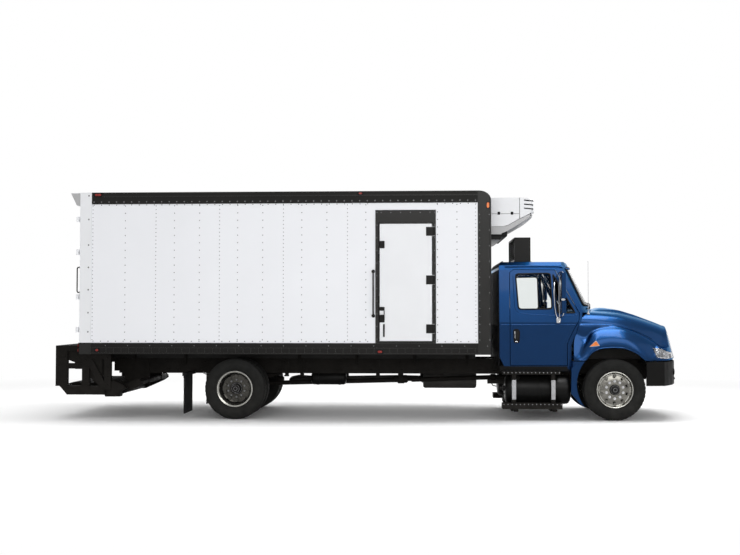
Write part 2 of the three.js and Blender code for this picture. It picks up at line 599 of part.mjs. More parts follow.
const sideDoor = (() => {
  const face = -BOX.half + 3;
  const { x0, x1, z0, z1, thick } = SIDE_DOOR;
  const leaf = box([x0 + 12, x1 - 6], [face, face + thick], [z0 + 6, z1 - 6]);
  const straps = [1437, 2244, 3046].map((z) => join(
    box([3191, SIDE_HINGE.x - 4], [face - 15, face - 4], [z, z + 154]),
    box([3195, 3290], [face - 5, face + 2], [z + 5, z + 149]),
    cylinder(11, 154, 'z', [SIDE_HINGE.x, SIDE_HINGE.y, z + 77], 8),
    box([SIDE_HINGE.x - 12, SIDE_HINGE.x], [SIDE_HINGE.y - 3, SIDE_HINGE.y + 9], [z, z + 154]),
  ));
  return join(leaf, straps);
})();
addPart('side_door', sideDoor, 'white_panel');

const frontWall = (() => {
  const slab = box([4180, BOX.front], [-BOX.half, BOX.half], [BOX.low, BOX.top]);
  const posts = [[-BOX.half, -1205], [1205, BOX.half]].map((y) => box([BOX.panelFront, BOX.front], y, [BOX.low, BOX.top]));
  const header = box([BOX.panelFront, BOX.front], [-BOX.half, BOX.half], [3690, BOX.top]);
  const corner = 60;
  const plan = planSlab([
    [4000, -BOX.half], ...arc(BOX.front - corner, -BOX.half + corner, corner, -90, 0, 4),
    ...arc(BOX.front - corner, BOX.half - corner, corner, 0, 90, 4), [4000, BOX.half],
  ], [1000, 4000]);
  return join(slab, posts, header).intersect(plan);
})();
const crownRound = (() => {
  const round = { x: 200, z: 165 };
  const bend = Array.from({ length: 7 }, (_, i) => {
    const angle = i * Math.PI / 12;
    return [BOX.front - round.x + round.x * Math.cos(angle), BOX.top - round.z + round.z * Math.sin(angle)];
  });
  return sideSlab([[3900, 1000], [BOX.front, 1000], ...bend, [3900, BOX.top]], [-1400, 1400]);
})();
addPart('box_wall_front', frontWall.intersect(crownRound), 'black_paint');

const boxRoof = join(
  box(wallSpanX, [-BOX.half, BOX.half], [3718, BOX.top]),
  [[-BOX.half, -BOX.half + 95], [BOX.half - 95, BOX.half]].map((y) => box(wallSpanX, y, [BOX.railLow, 3720])),
);
addPart('box_roof', boxRoof, 'black_paint');

const rearFrame = (() => {
  const portal = cut(
    box([BOX.rear, BOX.panelRear], [-BOX.half, BOX.half], [BOX.low, BOX.top]),
    box([-2700, -2300], [-1185, 1185], [BOX.floor + 20, 3560]),
  );
  const visor = sideSlab([[BOX.rear + 5, BOX.top], [-2795, BOX.top], [-2690, 3585], [BOX.rear + 5, 3562]], [-1240, 1240]);
  return join(portal, visor);
})();
addPart('box_rear_frame', rearFrame, 'white_panel');

const rearDoorRight = (() => {
  const face = BOX.rear - 4;
  const leaf = box([face, face + 85], [-1176, -12], [BOX.floor + 30, 3548]);
  const straps = [1450, 2000, 2750, 3300].map((z) => join(
    box([face - 14, face - 4], [-REAR_HINGE.y + 4, -1050], [z, z + 90]),
    box([face - 5, face + 2], [-1170, -1055], [z + 4, z + 86]),
    box([REAR_HINGE.x - 8, face - 4], [-REAR_HINGE.y - 4, -REAR_HINGE.y + 10], [z, z + 90]),
    cylinder(12, 90, 'z', [REAR_HINGE.x, -REAR_HINGE.y, z + 45], 8),
  ));
  const lockBars = [-250, -620].map((y) => bar(14, [face - 20, y, 1320], [face - 20, y, 3530], 8));
  const keepers = [-250, -620].flatMap((y) =>
    [1400, 3450].map((z) => box([face - 32, face + 1], [y - 30, y + 30], [z, z + 50])));
  return join(leaf, straps, lockBars, keepers);
})();
addPair('rear_door', rearDoorRight, 'white_panel');

const reefer = (() => {
  const back = BOX.front + GAP;
  const outline = [[back, 3718], [4960, 3718], [5020, 3695], [5035, 3640], [5030, 3490], [5012, 3410], [4985, 3375],
    [4785, 3260], [4590, 3150], [4490, 3098], [4490, 3006], [back, 3006]];
  const plan = planSlab([[4200, -950], [4700, -950], [4960, -860], [5040, -760], [5040, 760], [4960, 860],
    [4700, 950], [4200, 950]], [2900, 3800]);
  return sideSlab(outline, [-950, 950]).intersect(plan);
})();
addPart('refrigeration_unit', reefer, 'white_panel');

// ---------------------------------------------------------------- mud flaps
const flapRight = join(
  box([-856, -840], [-1220, -610], [93, 720]),
  box([-880, -820], [-1220, -431], [720, 770]),
);
addPair('mud_flap', flapRight, 'rubber');

// ---------------------------------------------------------------- liftgate
const liftDeck = (() => {
  const deck = box([REAR_END, BOX.rear - GAP], [-1200, 1200], [1140, 1226]);
  const sides = [[-1200, -1120], [1120, 1200]].flatMap((y) => [
    box([REAR_END, -2840], y, [547, 1150]),
    sideSlab([[-2990, 560], [-2954, 530], [-2845, 402], [-2199, 402],
      [-2199, 547], [-2900, 547], [-2900, 600]], y),
    box([-2591, -2465], y, [540, BOX.low - GAP]),
    box([-2850, -2460], y, [850, 925]),
    sideSlab([[-2560, 1040], [-2300, 545], [-2199, 545], [-2199, 600], [-2440, 1040]], y),
    box([-2620, -2100], y, [1000, BOX.low - GAP]),
    box([-2210, -2100], y, [480, 1040]),
  ]);
  const beam = box([-2500, -2420], [-1150, 1150], [FRAME.top + GAP, BOX.low - GAP]);
  return join(deck, sides, beam);
})();
addPart('liftgate_dock_frame', liftDeck, 'black_steel');

const liftMount = (() => {
  const plates = [[-445, -FRAME.out - GAP], [FRAME.out + GAP, 445]].map((y) =>
    sideSlab([[-2080, 980], [-2080, 640], [-1960, 540], [-1640, 530], [-1640, 980]], y));
  const tube = cylinder(45, 1920, 'y', [LIFT.pivotX, 0, LIFT.pivotZ], 20);
  const pump = box([-2050, -1800], [500, 760], [560, 760]);
  const bracket = box([-2000, -1900], [440, 510], [650, 700]);
  return join(plates, tube, pump, bracket);
})();
addPart('liftgate_mount', liftMount, 'black_steel');

const liftArms = (() => {
  const { pivotX, pivotZ, hingeX, hingeZ, armY } = LIFT;
  const outline = [[pivotX + 10, pivotZ + 70], [pivotX + 60, pivotZ - 20], [pivotX - 20, pivotZ - 75], [-2060, 360],
    [-2140, 357], [hingeX - 30, hingeZ - 45], [hingeX - 40, hingeZ + 20], [hingeX, hingeZ + 42],
    [-2140, 480], [pivotX - 60, pivotZ + 50]];
  const arms = [[-armY - 25, -armY + 25], [armY - 25, armY + 25]].map((y) => sideSlab(outline, y));
  const torsion = cylinder(50, 1800, 'y', [-2100, 0, 418], 20);
  const bores = [cylinder(48, 2000, 'y', [pivotX, 0, pivotZ], 20), cylinder(23, 2000, 'y', [hingeX, 0, hingeZ], 16)];
  return cut(join(arms, torsion), bores);
})();
addPart('liftgate_arms', liftArms, 'black_steel');

const liftCarrier = join(
  cylinder(20, 1880, 'y', [LIFT.hingeX, 0, LIFT.hingeZ], 16),
  [-935, 935].map((y) => cylinder(34, 14, 'y', [LIFT.hingeX, y, LIFT.hingeZ], 16)),
);
addPart('liftgate_hinge_bar', liftCarrier, 'black_steel');

const FOLD = { x: -2340, z: 542, knuckle: 16 };
const knuckleBlock = (x, z, radius, y, [plateX0, plateX1], plateZ) => join(
  cylinder(radius, y[1] - y[0], 'y', [x, (y[0] + y[1]) / 2, z], 14),
  box([plateX0, plateX1], y, plateZ),
);
const platformInner = (() => {
  const { hingeX, hingeZ } = LIFT;
  const plate = box([-2866, -2364], [-850, 850], [478, 540]);
  const rearKnuckles = [[-850, -650], [-120, 120], [650, 850]].map((y) =>
    knuckleBlock(hingeX, hingeZ, 34, y, [hingeX, -2860], [490, 520]));
  const foldKnuckles = [[-850, -520], [-120, 120], [520, 850]].map((y) =>
    knuckleBlock(FOLD.x, FOLD.z, FOLD.knuckle, y, [-2370, FOLD.x], [527, 539]));
  const bore = cylinder(23, 2000, 'y', [hingeX, 0, hingeZ], 16);
  return cut(join(plate, rearKnuckles, foldKnuckles), bore);
})();
addPart('liftgate_platform_inner', platformInner, 'black_steel');

const platformOuter = (() => {
  const plate = sideSlab([[-2364, 544], [-2364, 590], [-2860, 590], [-2980, 556], [-2980, 544]], [-850, 850]);
  const knuckles = [[-510, -130], [130, 510]].map((y) =>
    knuckleBlock(FOLD.x, FOLD.z, FOLD.knuckle, y, [-2370, FOLD.x], [545, 557]));
  return join(plate, knuckles);
})();
addPart('liftgate_platform_outer', platformOuter, 'black_steel');

export default truck;
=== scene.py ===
import json
import math
from math import cos, radians, sin, tau

import bmesh
import bpy
from mathutils import Matrix, Vector
from mathutils.bvhtree import BVHTree


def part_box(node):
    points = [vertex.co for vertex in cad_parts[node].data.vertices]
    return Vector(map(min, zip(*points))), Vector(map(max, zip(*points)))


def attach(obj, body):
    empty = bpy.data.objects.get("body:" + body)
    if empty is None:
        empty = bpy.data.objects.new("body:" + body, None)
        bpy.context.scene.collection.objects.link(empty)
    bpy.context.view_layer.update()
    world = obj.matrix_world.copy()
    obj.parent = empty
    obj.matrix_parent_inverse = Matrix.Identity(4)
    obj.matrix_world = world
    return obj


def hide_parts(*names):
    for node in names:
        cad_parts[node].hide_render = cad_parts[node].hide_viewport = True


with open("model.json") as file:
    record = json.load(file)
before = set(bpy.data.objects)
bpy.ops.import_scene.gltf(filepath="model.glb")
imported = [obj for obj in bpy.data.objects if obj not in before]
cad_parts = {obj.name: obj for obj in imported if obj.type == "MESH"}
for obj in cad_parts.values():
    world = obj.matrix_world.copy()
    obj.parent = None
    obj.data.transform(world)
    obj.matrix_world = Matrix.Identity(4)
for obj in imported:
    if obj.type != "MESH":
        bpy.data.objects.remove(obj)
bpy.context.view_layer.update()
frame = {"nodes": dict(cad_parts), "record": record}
scene = bpy.context.scene

# Lengths are in millimetres, with x counted forward from the rear axle and y to the truck's left.
tyre_low, tyre_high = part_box("tyre_rear_outer_right")
TO_ROW = Matrix.Translation(((tyre_low.x + tyre_high.x) / 2, 0, 0)) @ Matrix.Scale(0.001, 4)
FROM_ROW = TO_ROW.inverted()
SIDES = ((-1, "right"), (1, "left"))
DOORS, HOODS = ("cab_door_right", "cab_door_left"), ("hood", "hood")


# ------------------------------------------------------------------ camera and light
def aim(obj, forward):
    """Turn a lamp or the camera to look along a direction."""
    obj.rotation_euler = forward.to_track_quat("-Z", "Y").to_euler()


YAW, PITCH = radians(2.752), radians(1.881)
lens = bpy.data.cameras.new("camera")
lens.lens = 50.01
lens.sensor_width = 36
camera = bpy.data.objects.new("camera", lens)
camera.location = TO_ROW @ Vector((3083, -18285, 1803))
aim(camera, Vector((-sin(YAW) * cos(PITCH), cos(YAW) * cos(PITCH), sin(PITCH))))
scene.collection.objects.link(camera)
scene.camera = camera
scene.view_settings.view_transform = "Standard"

LAMPS = (          # name, place in metres, aim point, width, depth, watts, what it is left out of
    ("key", (0.6, 0.1, 8.2), (0.6, 0.1, 0.0), 14.0, 2.6, 950, ""),
    ("cab_top", (3.9, -2.6, 7.4), (3.9, -1.2, 1.0), 5.5, 4.0, 900, "diffuse"),
    ("cab_sky", (6.5, -12.0, 7.6), (4.5, 0, 1.4), 15.0, 6.6, 1300, "diffuse"),
    ("front_fill", (0.5, -16.0, 3.0), (0.5, 0, 1.6), 18.0, 5.0, 1000, "glossy"),
    ("back_fill", (0.0, 14.0, 6.0), (0.0, 0, 1.6), 16.0, 7.0, 300, ""),
    ("nose_fill", (14.0, -3.0, 5.0), (4.0, 0, 1.4), 6.0, 6.0, 90, ""),
    ("tail_fill", (-14.0, 0.0, 5.0), (-4.0, 0, 1.6), 6.0, 6.0, 110, ""),
)
for name, spot, target, wide, deep, watts, left_out in LAMPS:
    light = bpy.data.lights.new(name, "AREA")
    light.shape = "RECTANGLE"
    light.size, light.size_y, light.energy = wide, deep, watts
    lamp = bpy.data.objects.new(name, light)
    lamp.location = spot
    lamp.visible_transmission = False
    lamp.visible_glossy = left_out != "glossy"
    lamp.visible_diffuse = left_out != "diffuse"
    aim(lamp, Vector(target) - Vector(spot))
    scene.collection.objects.link(lamp)


def add_node(tree, kind, inputs=None, **settings):
    """A new shader node; inputs maps a socket to a constant or to the output that feeds it."""
    made = tree.nodes.new("ShaderNode" + kind)
    for key, value in settings.items():
        setattr(made, key, value)
    for key, value in (inputs or {}).items():
        if isinstance(value, bpy.types.NodeSocket):
            tree.links.new(value, made.inputs[key])
        else:
            made.inputs[key].default_value = value
    return made


def looked_at(tree, first, second, third):
    """1 where the ray is of one of three kinds, and 0 elsewhere."""
    ray = add_node(tree, "LightPath").outputs
    either = add_node(tree, "Math", {0: ray[first], 1: ray[second]}, operation="MAXIMUM")
    return add_node(tree, "Math", {0: either.outputs[0], 1: ray[third]}, operation="MAXIMUM").outputs[0]


WORLD_LIGHT = 0.60        # how strongly the white world lights the truck; where it is seen it is 1
world = bpy.data.worlds.new("studio")
scene.world = world
world.use_nodes = True
tree = world.node_tree
seen = looked_at(tree, "Is Camera Ray", "Is Glossy Ray", "Is Transmission Ray")
level = add_node(tree, "MapRange", {"Value": seen, "To Min": WORLD_LIGHT, "To Max": 1.0})
back = tree.nodes["Background"]
back.inputs["Color"].default_value = (1, 1, 1, 1)
tree.links.new(level.outputs["Result"], back.inputs["Strength"])

# ------------------------------------------------------------------ materials
DUST = (0.20, 0.18, 0.16, 1)


def material(name, colour, rough, metal=0.0, spec=0.5, tint=(1, 1, 1), coat=0.0, coat_rough=0.05, vary=0.08,
             scale=2.5, bump=0.0, bump_scale=150.0, rough_vary=0.08, dust=0.0, transmission=0.0, ior=1.45):
    """A finish whose shade and roughness wander a little, with dust low down where it is asked for."""
    mat = bpy.data.materials.new(name)
    mat.use_nodes = True
    tree = mat.node_tree
    shader = tree.nodes["Principled BSDF"].inputs
    for key, value in (("Metallic", metal), ("Specular IOR Level", spec), ("Specular Tint", (*tint, 1)), ("IOR", ior),
                       ("Coat Weight", coat), ("Coat Roughness", coat_rough), ("Transmission Weight", transmission)):
        shader[key].default_value = value
    place = add_node(tree, "TexCoord").outputs["Object"]

    def noise(size, detail=3.0):
        return add_node(tree, "TexNoise", {"Scale": size, "Detail": detail, "Vector": place}).outputs["Fac"]

    def mapped(source, low, high, start=0.3, end=0.7):
        return add_node(tree, "MapRange", {"From Min": start, "From Max": end, "To Min": low, "To Max": high,
                                           "Value": source}).outputs["Result"]

    def mixed(factor, a, b):
        return add_node(tree, "Mix", {"Factor": factor, 6: a, 7: b}, data_type="RGBA").outputs[2]

    dark = (*(c * (1 - vary) for c in colour), 1)
    light = (*(min(1.0, c * (1 + vary)) for c in colour), 1)
    shade = mixed(mapped(noise(scale), 0.0, 1.0), dark, light)
    if dust:
        height = add_node(tree, "SeparateXYZ", {0: place}).outputs["Z"]
        speck = add_node(tree, "Math", {0: mapped(height, dust, 0.0, 0.1, 1.1),
                                        1: mapped(noise(9.0, 6.0), 0.2, 1.0, 0.35, 0.65)}, operation="MULTIPLY")
        shade = mixed(speck.outputs[0], shade, DUST)
    tree.links.new(shade, shader["Base Color"])
    tree.links.new(mapped(noise(scale * 3.1), max(0.02, rough - rough_vary), min(1.0, rough + rough_vary)),
                   shader["Roughness"])
    if bump:
        bumps = add_node(tree, "Bump", {"Strength": bump, "Distance": 0.002, "Height": noise(bump_scale, 4.0)})
        tree.links.new(bumps.outputs["Normal"], shader["Normal"])
    return mat


BLUE = material("blue_paint", (0.005, 0.024, 0.075), 0.30, 1.0, 0.25, (0.30, 0.62, 1.0), 0.12, 0.04,
                vary=0.03, bump=0.02, bump_scale=900, rough_vary=0.02)
WHITE = material("white_panel", (0.86, 0.87, 0.90), 0.42, 0, 0.3, vary=0.012, scale=0.8, bump=0.02,
                 bump_scale=30)
WHITE_TRIM = material("white_trim", (0.83, 0.84, 0.86), 0.38, 0, 0.3, vary=0.015, scale=2.0)
GREY_SHELL = material("grey_shell", (0.46, 0.46, 0.465), 0.45, 0, 0.3, vary=0.03)
BLACK = material("black_paint", (0.010, 0.0095, 0.009), 0.42, 0, 0.12, vary=0.15, bump=0.03,
                 bump_scale=300)
RAIL = material("black_rail", (0.019, 0.0185, 0.0175), 0.36, 0, 0.16, vary=0.12, scale=1.2)
ROOF = material("roof_black", (0.020, 0.0195, 0.0185), 0.72, 0, 0.05, vary=0.05, scale=1.2,
                rough_vary=0.02)
STEEL = material("black_steel", (0.0075, 0.0068, 0.006), 0.6, 0, 0.07, vary=0.25, bump=0.12,
                 bump_scale=140, dust=0.05)
TRIM = material("dark_trim", (0.007, 0.007, 0.0075), 0.62, 0, 0.08, vary=0.12, bump=0.1, bump_scale=500)
TYRE = material("tyre", (0.0125, 0.0128, 0.0122), 0.75, 0, 0.08, vary=0.18, scale=6, bump=0.1,
                bump_scale=260, dust=0.05)
RUBBER = material("rubber", (0.007, 0.007, 0.0075), 0.65, 0, 0.1, vary=0.15, bump=0.06, bump_scale=300)
ALLOY = material("polished_alloy", (0.34, 0.335, 0.31), 0.22, 1.0, vary=0.10, scale=5, bump=0.05,
                 bump_scale=120)
DISC = material("wheel_disc", (0.15, 0.145, 0.13), 0.24, 1.0, vary=0.25, scale=9, rough_vary=0.06)
# the rear discs' darker tone is painted shade of their deep dish and a painted reflection of the dark ground
REAR_DISC_PAINTED_SHADE = material("wheel_disc_painted_shade", (0.05, 0.048, 0.043), 0.3, 1.0, vary=0.2, scale=9,
                     rough_vary=0.06)
CHROME = material("chrome", (0.50, 0.50, 0.51), 0.12, 1.0, vary=0.03, rough_vary=0.04)
ZINC = material("zinc", (0.16, 0.16, 0.165), 0.45, 0.6, 0.2, vary=0.15, scale=30)
IRON = material("cast_iron", (0.05, 0.048, 0.045), 0.7, 0.3, 0.1, vary=0.2, bump=0.3, bump_scale=90)
GLASS = material("clear_glass", (0.88, 0.90, 0.895), 0.02, vary=0.0, rough_vary=0.01,
                 transmission=1.0, ior=1.12)
SHADED_GLASS = material("shaded_glass", (0.30, 0.31, 0.30), 0.02, vary=0.0, rough_vary=0.01,
                        transmission=1.0, ior=1.07)
STRAP = material("brushed_strap", (0.33, 0.33, 0.34), 0.34, 0.9, 0.3, scale=14, rough_vary=0.1)
BUMPER = material("bumper_black", (0.0065, 0.0063, 0.006), 0.58, 0, 0.06, vary=0.12, bump=0.04,
                  bump_scale=400)
TANK_BLACK = material("tank_black", (0.0045, 0.0044, 0.0042), 0.36, 0, 0.10, vary=0.15, bump=0.02,
                      bump_scale=200)
LENS = material("lamp_lens", (0.90, 0.92, 0.95), 0.05, vary=0.0, rough_vary=0.01, transmission=0.9)
AMBER = material("amber_lens", (0.80, 0.20, 0.03), 0.22, 0, 0.4, vary=0.10, scale=20, bump=0.3,
                 bump_scale=120)
RED = material("red_lens", (0.25, 0.018, 0.012), 0.25, 0, 0.4, vary=0.15, scale=20, bump=0.3,
               bump_scale=120)
CLOTH = material("seat_cloth", (0.045, 0.046, 0.052), 0.9, 0, 0.15, vary=0.2, scale=12, bump=0.5,
                 bump_scale=700)
HEADLINER = material("headliner", (0.20, 0.20, 0.205), 0.95, 0, 0.1, vary=0.06, bump=0.3,
                     bump_scale=500)
DECK = material("cargo_floor", (0.30, 0.30, 0.31), 0.5, 0.6, vary=0.1, bump=0.2, bump_scale=60)

FLOOR_BOUNCE = 0.50       # the floor as the truck's surfaces are lit by it
FLOOR_SEEN = 0.98         # and as it is looked at
FLOOR_HALF = (4.6, 0.8, 0)  # half the length and width of the middle, from which the fade is measured, in metres
FLOOR_FADE = (4.5, 10.0)  # how far beyond that the floor starts and ends turning into the white backdrop


def studio_floor():
    """A pale floor that keeps the shadow and turns into the white backdrop further out."""
    mat = bpy.data.materials.new("floor")
    mat.use_nodes = True
    tree = mat.node_tree
    tree.nodes.clear()
    out = add_node(tree, "OutputMaterial")
    bounce = add_node(tree, "BsdfDiffuse", {"Color": (FLOOR_BOUNCE, FLOOR_BOUNCE, FLOOR_BOUNCE, 1)})
    seen = add_node(tree, "BsdfDiffuse", {"Color": (FLOOR_SEEN, FLOOR_SEEN, FLOOR_SEEN, 1)})
    backdrop = add_node(tree, "Emission", {"Color": (1, 1, 1, 1), "Strength": 1.0})
    spot = add_node(tree, "TexCoord").outputs["Object"]
    for operation, other in (("ABSOLUTE", None), ("SUBTRACT", FLOOR_HALF), ("MAXIMUM", (0, 0, 0))):
        spot = add_node(tree, "VectorMath", {0: spot, 1: other} if other else {0: spot}, operation=operation).outputs[0]
    away = add_node(tree, "VectorMath", {0: spot}, operation="LENGTH").outputs["Value"]
    fade = add_node(tree, "MapRange", {"From Min": FLOOR_FADE[0], "From Max": FLOOR_FADE[1], "Value": away},
                    interpolation_type="SMOOTHSTEP")
    ground = add_node(tree, "MixShader", {0: fade.outputs[0], 1: seen.outputs[0], 2: backdrop.outputs[0]})
    looks = looked_at(tree, "Is Camera Ray", "Is Transmission Ray", "Is Glossy Ray")
    pick = add_node(tree, "MixShader", {0: looks, 1: bounce.outputs[0], 2: ground.outputs[0]})
    tree.links.new(pick.outputs[0], out.inputs["Surface"])
    return mat


bpy.ops.mesh.primitive_plane_add(size=160, location=(0, 0, 0))
floor = bpy.context.object
floor.name = "floor"
floor.data.materials.append(studio_floor())


# ------------------------------------------------------------------ making pieces
def mesh_object(bm, name):
    """An object made of the mesh in hand, which is used up."""
    mesh = bpy.data.meshes.new(name)
    bm.to_mesh(mesh)
    bm.free()
    obj = bpy.data.objects.new(name, mesh)
    scene.collection.objects.link(obj)
    return obj


def evaluated_form(obj):
    """A Form holding an object's mesh after its modifiers."""
    ready = obj.evaluated_get(bpy.context.evaluated_depsgraph_get())
    result = Form()
    result.bm.from_mesh(ready.to_mesh())
    ready.to_mesh_clear()
    return result


def boolean(obj, other, operation):
    """Cut an object by another, or keep what they share."""
    mod = obj.modifiers.new("cut", "BOOLEAN")
    mod.object, mod.operation, mod.solver = other, operation, "EXACT"


def off(side, a, b):
    """The range from a to b out from the centre line on one side, low end first."""
    return sorted((side * a, side * b))


def sided(side, *points):
    """The points with y counted outward on one side."""
    return [(x, side * y, z) for x, y, z in points]


def row(x0, x1, pitch):
    """Evenly spaced places from x0 to x1, as near the pitch as fits."""
    count = max(1, round((x1 - x0) / pitch))
    return [x0 + (x1 - x0) * i / count for i in range(count + 1)]


def sew(bm, a, b, closed=True):
    """Quads between two rings of vertices."""
    n = len(a)
    for i in range(n if closed else n - 1):
        bm.faces.new((a[i], a[(i + 1) % n], b[(i + 1) % n], b[i]))


class Form:
    """Several closed forms that make one piece. Lengths are in millimetres until the piece is done."""

    def __init__(self):
        self.bm = bmesh.new()

    def take(self, bm):
        """Add a mesh in hand, which is used up."""
        mesh = bpy.data.meshes.new("part")
        bm.to_mesh(mesh)
        bm.free()
        self.bm.from_mesh(mesh)
        bpy.data.meshes.remove(mesh)
        return self

    def block(self, x, y, z, bevel=4.0, turn=None):
        """A box between pairs of bounds; turn is (axis, degrees) about its middle."""
        bm = bmesh.new()
        bmesh.ops.create_cube(bm, size=1)
        size = [abs(s[1] - s[0]) for s in (x, y, z)]
        bmesh.ops.scale(bm, vec=size, verts=bm.verts)
        bmesh.ops.bevel(bm, geom=bm.edges[:], offset=min(bevel, min(size) * 0.45), segments=2, affect="EDGES")
        if turn:
            bmesh.ops.rotate(bm, cent=(0, 0, 0), matrix=Matrix.Rotation(radians(turn[1]), 3, turn[0]), verts=bm.verts)
        bmesh.ops.translate(bm, vec=[(s[0] + s[1]) / 2 for s in (x, y, z)], verts=bm.verts)
        return self.take(bm)

    def blocks(self, rows, bevel):
        """A box for each (x, y, z) of bounds."""
        for x, y, z in rows:
            self.block(x, y, z, bevel)
        return self

    def rod(self, a, b, r, segs=20, bevel=0.0, r2=None):
        """A round bar from a to b; r2 is the radius at b where it differs."""
        bm = bmesh.new()
        a, b = Vector(a), Vector(b)
        bmesh.ops.create_cone(bm, cap_ends=True, segments=segs, radius1=r, radius2=r if r2 is None else r2,
                              depth=(b - a).length)
        if bevel:
            caps = [e for e in bm.edges if len(e.link_faces) == 2 and any(len(f.verts) > 4 for f in e.link_faces)]
            bmesh.ops.bevel(bm, geom=caps, offset=bevel, segments=2, affect="EDGES")
        turn = (b - a).to_track_quat("Z", "Y").to_matrix().to_4x4()
        bmesh.ops.transform(bm, matrix=Matrix.Translation((a + b) / 2) @ turn, verts=bm.verts)
        return self.take(bm)

    def tube(self, points, r, segs=8, closed=False):
        """A round bar along a line of points."""
        pts = [Vector(p) for p in points]
        n = len(pts)
        bm = bmesh.new()
        rings = []
        up = None
        for i, p in enumerate(pts):
            ahead = pts[(i + 1) % n] - p if closed or i < n - 1 else p - pts[i - 1]
            behind = p - pts[i - 1] if closed or i else ahead
            way = (ahead.normalized() + behind.normalized()).normalized()
            if up is None:
                up = way.orthogonal().normalized()
            up = (up - way * up.dot(way)).normalized()
            side = way.cross(up)
            rings.append([bm.verts.new(p + (up * cos(tau * k / segs) + side * sin(tau * k / segs)) * r)
                          for k in range(segs)])
        for one, two in zip(rings, rings[1:] + (rings[:1] if closed else [])):
            sew(bm, one, two)
        if not closed:
            bm.faces.new(list(reversed(rings[0])))
            bm.faces.new(rings[-1])
        bmesh.ops.recalc_face_normals(bm, faces=bm.faces)
        return self.take(bm)

    def lathe(self, profile, centre, axis="y", segs=64, notch=None):
        """A closed profile of (radius, outward) turned round the axis; outward is -y, +x or +z.
        notch(i, k) is how far point i is sunk at step k of the turn."""
        bm = bmesh.new()
        rings = []
        for k in range(segs):
            c, s = cos(tau * k / segs), sin(tau * k / segs)
            ring = []
            for i, (r, out) in enumerate(profile):
                if notch:
                    r -= notch(i, k)
                spot = {"y": (r * c, -out, r * s), "x": (out, r * c, r * s), "z": (r * c, r * s, out)}[axis]
                ring.append(bm.verts.new(Vector(centre) + Vector(spot)))
            rings.append(ring)
        for one, two in zip(rings, rings[1:] + rings[:1]):
            sew(bm, one, two)
        bmesh.ops.remove_doubles(bm, verts=bm.verts, dist=0.01)
        bmesh.ops.dissolve_degenerate(bm, edges=bm.edges, dist=0.001)
        bmesh.ops.recalc_face_normals(bm, faces=bm.faces)
        return self.take(bm)

    def prism(self, outline, axis, span, bevel=3.0):
        """An outline of pairs swept along the axis: (x, z) along y, (y, z) along x, (x, y) along z."""
        bm = bmesh.new()
        put = {"y": lambda a, b, c: (a, c, b), "x": lambda a, b, c: (c, a, b), "z": lambda a, b, c: (a, b, c)}[axis]
        ends = [[bm.verts.new(put(a, b, c)) for a, b in outline] for c in span]
        bm.faces.new(ends[0])
        bm.faces.new(list(reversed(ends[1])))
        n = len(outline)
        for i, j in zip(range(n), [*range(1, n), 0]):
            bm.faces.new((ends[0][j], ends[0][i], ends[1][i], ends[1][j]))
        bmesh.ops.recalc_face_normals(bm, faces=bm.faces)
        if bevel:
            bmesh.ops.bevel(bm, geom=bm.edges[:], offset=bevel, segments=2, affect="EDGES", clamp_overlap=True)
        return self.take(bm)

    def domes(self, points, normal, r=9.0, h=4.0, segs=8):
        """Low round heads standing on a face."""
        turn = Vector(normal).to_track_quat("Z", "Y").to_matrix()
        for p in points:
            loops = [[self.bm.verts.new(Vector(p) + turn @ Vector((r * k * cos(tau * i / segs),
                                                                   r * k * sin(tau * i / segs), h * up)))
                      for i in range(segs)] for k, up in ((1.0, 0.0), (0.8, 0.6), (0.4, 0.92))]
            for one, two in zip(loops, loops[1:]):
                sew(self.bm, one, two)
            self.bm.faces.new(loops[-1])
            self.bm.faces.new(list(reversed(loops[0])))
        return self

    def mirrored(self):
        """The mesh of the same form on the other side."""
        twin = self.bm.copy()
        bmesh.ops.scale(twin, vec=(1, -1, 1), verts=twin.verts)
        bmesh.ops.reverse_faces(twin, faces=twin.faces)
        return twin

    def done(self, name, mat, body="truck", smooth=38, slot=None, replaces=None):
        """The finished piece, riding on a body and standing in for a CAD node where one is named."""
        bmesh.ops.transform(self.bm, matrix=TO_ROW, verts=self.bm.verts)
        piece = mesh_object(self.bm, name)
        piece.data.shade_smooth()
        piece.data.set_sharp_from_angle(angle=radians(smooth))
        piece.data.materials.append(mat)
        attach(piece, body)
        if replaces:
            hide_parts(replaces)
        return piece

    def pair(self, name, mat, bodies=("truck", "truck"), smooth=38, slot=None, replaces=None):
        """The right piece and its mirror image on the left."""
        twin = Form()
        twin.bm.free()
        twin.bm = self.mirrored()
        for form, body, (_, hand) in zip((self, twin), bodies, SIDES):
            form.done(name + "_" + hand, mat, body, smooth, slot, replaces and replaces + "_" + hand)


def body_of(node):
    """The body that a CAD node rides on."""
    return next(b for b, members in frame["record"]["behaviour"]["bodies"].items() if node in members)


def paint(node, mat):
    """Give a CAD solid one finish."""
    data = frame["nodes"][node].data
    data.materials.clear()
    data.materials.append(mat)
    for polygon in data.polygons:
        polygon.material_index = 0


# ------------------------------------------------------------------ tyres and wheels
HUB_Z = 506
WHEELBASE = 6300
GROOVE = 7.0              # depth of the cuts across the tread's shoulders
WALL = [(289, 103), (291, 108), (300, 111), (306, 106), (318, 112), (330, 119), (333, 122), (345, 127), (348, 126),
        (372, 134), (400, 137), (428, 135), (446, 130), (449, 131.5), (456, 130), (460, 127), (478, 120), (488, 116),
        (497, 110), (502, 104)]
TREAD = [(504.5, 101), (505.2, 84), (505.4, 74), (493, 71), (493, 62), (505.8, 59), (506, 40), (506, 30), (493, 27),
         (493, 18), (506, 15), (506, 0)]


